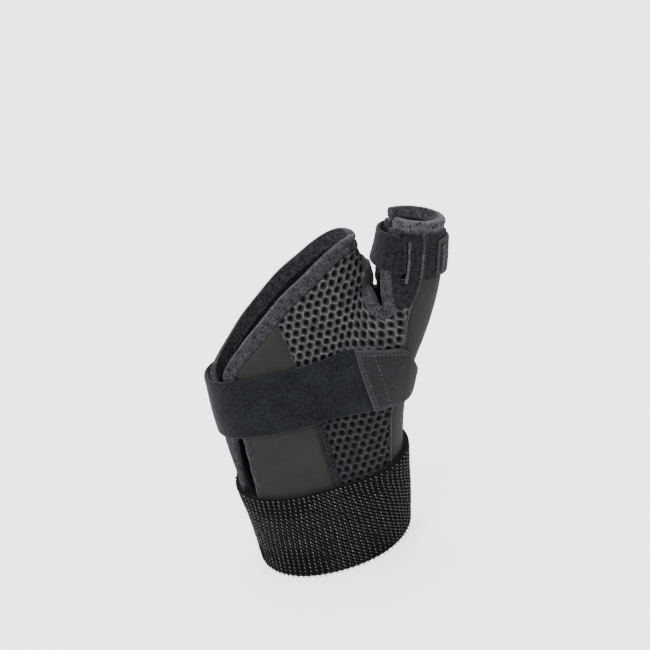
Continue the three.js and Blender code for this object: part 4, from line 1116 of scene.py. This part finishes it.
def sewSeams():
    for side, title in ((-1, "palmar"), (1, "dorsal")):
        z = np.linspace(panelFoot + 4, up(.7), 90)
        x = patchSeam(z)
        keep = z < topAt[side](x) + .4
        p, n = palmAt(side, x[keep], z[keep])
        bar(title + "PatchSeamCord", p, n, 1.0, 1.9, 1.5, "brushedTricot", "laminate")
        zigzag(title + "PatchSeam", p + n * (panelHigh + .02), n, seamWork["zigzagPitch"],
               seamWork["zigzagWidth"], "greyThread", .32)
        # zigzag along the free edge of the wing
        z = np.linspace(panelFoot + 4, up(.38), 70)
        p, n = palmAt(side, wingEdge[side](z) + 1.0, z)
        bar(title + "WingBinding", p, n, 3.7, 3.4, 1.6, "brushedTricot", "plush_binding", .28)
        p, n = palmAt(side, wingEdge[side](z) + 1.3, z)
        zigzag(title + "WingEdge", p + n * (panelHigh + .62), n, seamWork["edgePitch"],
               seamWork["edgeWidth"], "greyThread", .34)
        # cord and pale stitches along the thumb side's seam
        h = np.linspace(panelFoot + 4, rimFoot + .8, 120)
        turn = seamTurn(side, h)
        p, n = radialAt(turn, h)
        bar(title + "RadialSeamCord", p, n, .9, .8, panelHigh + .1, "brushedTricot", "laminate")
        radius = radiusAt(60, h)
        p, n = radialAt(turn + np.where(side < 0, 1, -1) * turnFor(.25, radius), h)
        runningStitch(title + "RadialSeamStitches", p + n * (panelHigh + .5), n, 1.5, "paleThread",
                      .7, .3)
    # folded tape beside the palmar patch seam, from the cuff up under the strap
    z = np.linspace(8, up(.40), 60)
    share = np.linspace(0, 1, 9)
    x = patchSeam(z)[:, None] - .4 + 3.9 * share
    dense = denseGrid(palmAt(-1, x, z[:, None] + 0 * x), .8, .7)
    high = panelHigh + .35 + fuzz(dense[0], 1.0, 3) * .2
    piece = clothLayer("palmSeamTape", dense, panelHigh - .5, high, ["loopPile"], edge=.6)
    declareCloth(piece, dense, panelHigh)
    p, n = palmAt(-1, patchSeam(z) + 1.2, z)
    zigzag("palmSeamTapeStitches", p + n * (panelHigh + .42), n, 2.6, 2.0, "greyThread", .34)


# forearm cuff: ribbed elastic, its loops in slanted pairs along every rib
cuff = {"height": 40, "wall": 2.6, "ribPitch": 2.25, "loopPitch": 1.75, "loopLean": .75, "ribRelief": .3,
        "hem": .1, "columns": 420}


def forearmCuff():
    a = np.linspace(0, 2 * np.pi, 91)[:-1]
    s = sleeveAt(np.array([0.]))[0]
    x = s[0] + s[1] * np.sign(np.sin(a)) * np.abs(np.sin(a)) ** (2 / s[3])
    y = -s[2] * np.sign(np.cos(a)) * np.abs(np.cos(a)) ** (2 / s[3])
    v = np.linspace(0, 1, 12)
    z = (v[:, None] - .5) * cuff["height"] + .15 * y + .06 * x + up(.011)
    way = unit(np.stack([x - s[0], y, 0 * x], -1))
    start = np.stack([s[0] + 0 * z, 0 * z, z], -1)
    p, n = outTo(palmForm, start, way[None] + 0 * start)
    p, n = np.concatenate([p, p[:, :1]], 1), np.concatenate([n, n[:, :1]], 1)
    rows = edged(cuff["height"], .9, cuff["hem"]) * 11
    p, n = [v[:, :-1] for v in refineBoth(p, n, rows, np.linspace(0, 90, cuff["columns"] + 1))]
    # ribs are evenly spaced along the ring
    around = lengthsAlong(np.concatenate([p, p[:, :1]], 1), 1)
    ribs = int(round(around[:, -1].mean() / cuff["ribPitch"]))
    phase = around[:, :-1] / around[:, -1:] * ribs * 2 * np.pi
    level = lengthsAlong(p, 0)
    gap = np.minimum(level, level[-1:] - level)
    inner = ease(gap, .5, 1.3)
    high = layers["overPanel"] + cuff["wall"] - .18 + cuff["ribRelief"] * np.cos(phase) * inner \
        + .1 * (1 - inner) + fuzz(p, .9, 21) * .1
    piece = clothLayer("forearmCuff", (p, n), layers["overPanel"], high,
                       ["ribbedKnit", "brushedLining"], ring=True, edge=1.1)
    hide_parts("forearm_cuff")
    long = float(around[:, -1].mean())
    # the loops, in level rows, a bright one on each rib and a dim one in each groove, its yarn painted
    # darker as shade
    tall = float(level[-1].mean())
    count = int((tall - 2 * cuff["hem"]) / cuff["loopPitch"])
    bright, dim = ({"spots": [], "runs": [], "outward": []} for _ in range(2))
    # each column of loops lies on the crest of its rib
    at = np.interp(np.arange(ribs) / ribs * long, around.mean(0), np.arange(p.shape[1] + 1))
    closed = np.concatenate([p, p[:, :1]], 1) + np.concatenate([n, n[:, :1]], 1) \
        * np.concatenate([high, high[:, :1]], 1)[..., None]
    closedN = np.concatenate([n, n[:, :1]], 1)
    rowAt = level.mean(1)
    r = np.random.default_rng(4)
    for k in range(count):
        level = cuff["hem"] + (k + .5) * (tall - 2 * cuff["hem"]) / count
        q = np.interp(level, rowAt, np.arange(len(rowAt)))
        line = refine(np.concatenate([closed, closedN], -1), [q], at)[0]
        up1 = refine(np.concatenate([closed, closedN], -1), [min(q + .5, len(rowAt) - 1)], at)[0]
        rise = unit(up1[:, :3] - line[:, :3])
        aside = unit(np.cross(line[:, 3:], rise)) * -1
        for side, yarn in ((0, bright), (1, dim)):
            jitter = r.normal(0, .07, (ribs, 1))
            drop = rise * (jitter - side * cuff["loopPitch"] / 2)
            yarn["spots"].append(line[:, :3] + aside * (side * cuff["ribPitch"] / 2 + jitter) + drop
                                 + line[:, 3:] * (.06 - .2 * side))
            yarn["runs"].append(rise * (1 + jitter) - aside * (cuff["loopLean"] + jitter))
            yarn["outward"].append(line[:, 3:])
    for name, yarn, size, thread in (("cuffLoops", bright, (1.4, .48, .46), "loopYarn"),
                                     ("cuffGrooveShadeLoops", dim, (1.5, .6, .55), "grooveShadeYarn")):
        layThreads(name, np.concatenate(yarn["spots"]), np.concatenate(yarn["runs"]),
                   np.concatenate(yarn["outward"]), size, thread)


# wrist strap and its tab
wristStrap = {"width": 28, "wall": 1.8, "tabLength": 26.5, "tabWall": 2.0, "overStrap": 2.6}
tabFrom = 28.0  # how far across the strap's middle line meets its tab


def strapMiddle(x):
    return up(.405) + .1 * np.maximum(x, 0) + .035 * np.clip(x, ulnarMiddle, 0)


def tabEdgeX(z):
    return out(.79) + .015 * (z - up(.42))


def wristStrapPiece():
    u, v = np.linspace(0, 1, 70), np.linspace(0, 1, 7)
    backEnd = 2 * ulnarMiddle - out(.98)
    start = tabEdgeX(strapMiddle(tabFrom) + (v - .5) * wristStrap["width"]) - seamGap
    x = start[:, None] + (backEnd - start)[:, None] * u
    mirrored = np.where(x < ulnarMiddle, 2 * ulnarMiddle - x, x)
    z = strapMiddle(mirrored) + (v[:, None] - .5) * wristStrap["width"]
    dense = denseGrid(palmAt(-1, x, z), .9, 1.0)
    p = dense[0]
    long, tall = lengthsAlong(p, 1), lengthsAlong(p, 0)
    share = tall / tall[-1:]
    bow = .35 * np.sin(np.pi * share) + wave(p, 30, 17) * .13
    low = layers["overBinding"] + .05 + 0 * bow
    high = layers["overBinding"] + wristStrap["wall"] - .3 + bow
    piece = clothLayer("wristStrap", dense, low, high, ["brushedElastic"], edge=1.0)
    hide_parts("wrist_strap")
    declareCloth(piece, dense, layers["overBinding"] + .8)


def radialLevel(turn, z):
    h = np.array(z, float)
    for _ in range(5):
        h = h + z - radialAt(turn, h)[0][..., 2]
    return radialAt(turn, h)


def wristTab():
    v = np.array([0, .03, .1, .25, .5, .75, .9, .97, 1])
    z = strapMiddle(tabFrom) + (v - .5) * wristStrap["width"]
    start = sum(halve(np.full(9, -60.), np.full(9, 60.),
                      lambda turn: radialLevel(turn, z)[0][:, 0] < tabEdgeX(z), 14)) / 2
    span = turnFor(wristStrap["tabLength"], whole["thumbRadius"] + layers["overBinding"])
    over = wristStrap["overStrap"] / wristStrap["tabLength"]
    bendFrom = .4  # share of the tab's length where its end starts to round
    rounded = bendFrom + (1 - bendFrom) * np.sin(np.linspace(0, 1, 12) * np.pi / 2)
    u = np.concatenate([np.linspace(-over, bendFrom, 8)[:-1], rounded])
    bend = np.maximum(u - bendFrom, 0) / (1 - bendFrom)
    half = wristStrap["width"] * (.5 + .02 * u) * (1 - .6 * (1 - np.sqrt(np.maximum(1 - bend ** 3, 0))))
    level = strapMiddle(tabFrom) - 2.2 * u + (v[:, None] - .5) * 2 * half
    coarse = radialLevel(start[:, None] + span * u, level)
    shares = np.concatenate([[0, .008, .02, .035], np.linspace(.06, .94, 30), [.965, .98, .992, 1]])
    rows = np.interp(shares, v, np.arange(9))
    columns = np.concatenate([[0, .1, .25, .5, .8], np.linspace(1.2, 17.9, 44), [18]])
    lengthShare = np.broadcast_to(u, coarse[0].shape[:2])[..., None]
    both = refine(np.concatenate([*coarse, lengthShare], -1), rows, columns)
    p, n, share = both[..., :3], unit(both[..., 3:6]), both[..., 6]
    along = (share + over) * wristStrap["tabLength"]
    ride = 1.75 * (1 - ease(along, 1.5, 8))
    low = layers["overBinding"] + .05 + ride
    high = layers["overBinding"] + wristStrap["tabWall"] - .1 + ride * .75 + wave(p, 22, 31) * .12
    high = np.maximum(high, low + 1.1)
    piece = clothLayer("wristTab", (p, n), low, high, ["ribbedBacking"], edge=.9)
    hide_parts("wrist_strap_tab")
    declareCloth(piece, (p, n), layers["overBinding"] + 1)
    # stitches all round, 2 mm inside the edge, and one more row 4.6 mm beyond the first
    top = np.concatenate([p + n * (high[..., None] + .05), n], -1)
    tall, wide = lengthsAlong(p, 0), lengthsAlong(p, 1)
    midRow = len(p) // 2

    def columnAt(length):
        return np.interp(length, wide[midRow], np.arange(p.shape[1]))

    def rowAt(column, share):
        heights = tall[:, int(round(column))]
        return np.interp(share, heights / heights[-1], np.arange(len(p)))

    def sew(name, path, thread, pitch):
        line = np.array([refine(top, [r], [c])[0, 0] for r, c in path])
        runningStitch(name, line[:, :3], line[:, 3:], pitch, thread, .6, .3)
    first, last = columnAt(2.0), columnAt(wide[midRow, -1] - 2.4)
    inset = 2.0 / wristStrap["width"]
    upper = [(rowAt(c, 1 - inset), c) for c in np.linspace(first, last, 24)]
    ending = [(r, last) for r in np.linspace(upper[-1][0], rowAt(last, inset), 14)[1:-1]]
    lower = [(rowAt(c, inset), c) for c in np.linspace(last, first, 24)]
    closing = [(r, first) for r in np.linspace(lower[-1][0], upper[0][0], 20)[1:]]
    sew("wristTabStitches", upper + ending + lower + closing, "paleThread", 1.8)
    second = columnAt(6.6)
    sew("wristTabSecondRow", [(r, second) for r in np.linspace(lower[-1][0], upper[0][0], 20)],
        "paleThread", 2.4)


# thumb strap: out of the palmar slot, round the web side and the back, to its tab
thumbStrap = {"width": 15.4, "wall": 1.6, "tabLength": 15, "tabWidth": 15, "tabTurn": 42}
strapFoot = rimFoot - thumbStrap["width"] - 2.2


def thumbStrapPiece():
    tabSpan = turnFor(thumbStrap["tabLength"], whole["thumbRadius"] * .7 + layers["overBinding"])
    middle, bend = layers["overBinding"] + thumbStrap["wall"] / 2, thumbStrap["wall"] / 2 + .45
    v = np.linspace(0, 1, 7)
    h = strapFoot + v * thumbStrap["width"]
    radius = radiusAt(10, h)
    slot = seamTurn(-1, h) - turnFor(thumbFlap["slotInset"] + seamGap / 2, radius)
    turned = slot - turnFor(bend, radius)
    stop = thumbStrap["tabTurn"] + tabSpan - 360 + turnFor(seamGap, radius)
    p1, _ = radialAt(slot + 1, h)
    p0, _ = radialAt(slot - 1, h)
    along = unit(p1 - p0)
    points, normals = [], []
    # up out of the slot, then a quarter turn on to the flap
    climb = middle - bend
    for angle, lift in ((0, .9), (0, climb * .7), (0, climb), (30, 0), (60, 0), (90, 0)):
        s, c = math.sin(math.radians(angle)), math.cos(math.radians(angle))
        p, n = radialAt(turned + turnFor(bend * c, radius), h)
        points.append(p + n * (lift or climb + bend * s))
        normals.append(unit(along * c + n * s))
    for t in np.linspace(0, 1, 50)[1:]:
        p, n = radialAt(turned + (stop - turned) * t, h)
        points.append(p + n * middle)
        normals.append(n)
    coarse = np.stack(points, 1), np.stack(normals, 1)
    dense = denseGrid(coarse, .7, .8)
    p = dense[0]
    half = thumbStrap["wall"] / 2 - .05
    high = half + fuzz(p, .8, 40) * .16 + wave(p, 14, 6) * .1
    piece = clothLayer("thumbStrap", dense, -half, high, ["loopPile"], edge=.8)
    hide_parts("thumb_strap")
    declareCloth(piece, dense, 0)
    # its tab
    v, u = np.linspace(0, 1, 7), np.linspace(0, 1, 9)
    h = strapFoot - .4 + v * thumbStrap["tabWidth"]
    turn = thumbStrap["tabTurn"] + tabSpan * u
    dense = denseGrid(radialAt(turn[None, :], h[:, None]), .7, .8)
    lift = layers["overBinding"] - .3
    high = lift + 2.0 - .1 + wave(dense[0], 12, 2) * .08
    tab = clothLayer("thumbTab", dense, lift, high, ["ribbedBacking"], edge=.8)
    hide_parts("thumb_strap_tab")
    declareCloth(tab, dense, lift + 1)
    h = np.linspace(strapFoot + 1, strapFoot + thumbStrap["tabWidth"] - 2, 30)
    for k, aside in enumerate((2.0, 12.6)):
        turn = thumbStrap["tabTurn"] + turnFor(aside, radiusAt(50, h) + layers["overBinding"])
        p, n = radialAt(turn, h)
        if k == 0:
            bar("thumbTabStrip", p, n, 3.6, .9, lift + 1.75, "loopPile", "hook_tab", .1)
        over, thick = ((2.3, .42), (1.98, .3))[k]
        zigzag("thumbTabStitches%d" % (k + 1), p + n * (lift + over), n, 2.0, 2.2, "paleThread", thick)
    # loop patch on the stay panel, under the tab
    h, u = np.linspace(strapFoot - 2.5, rimFoot - .6, 12), np.linspace(0, 1, 14)
    start = seamTurn(-1, h) + turnFor(1.9, radiusAt(60, h))
    turn = start[:, None] + (118 - start)[:, None] * u
    dense = denseGrid(radialAt(turn, h[:, None] + 0 * turn), .6, .6)
    high = panelHigh + .5 + fuzz(dense[0], .8, 44) * .16
    patch = clothLayer("thumbLoopPatch", dense, panelHigh - .3, high, ["loopPile"], edge=.6)
    declareCloth(patch, dense, panelHigh)


for side, title in ((-1, "palmar"), (1, "dorsal")):
    sidePatch(side, title)
    spacerPanel(side, title)
    thumbFlapPiece(side, title)
radialCover()
print("panels laid")
palmBinding()
thumbHoleBinding()
thumbRimPiece()
print("bindings rolled")
forearmCuff()
print("cuff knitted")
wristStrapPiece()
wristTab()
thumbStrapPiece()
print("straps laid")
sewSeams()
print("seams sewn")
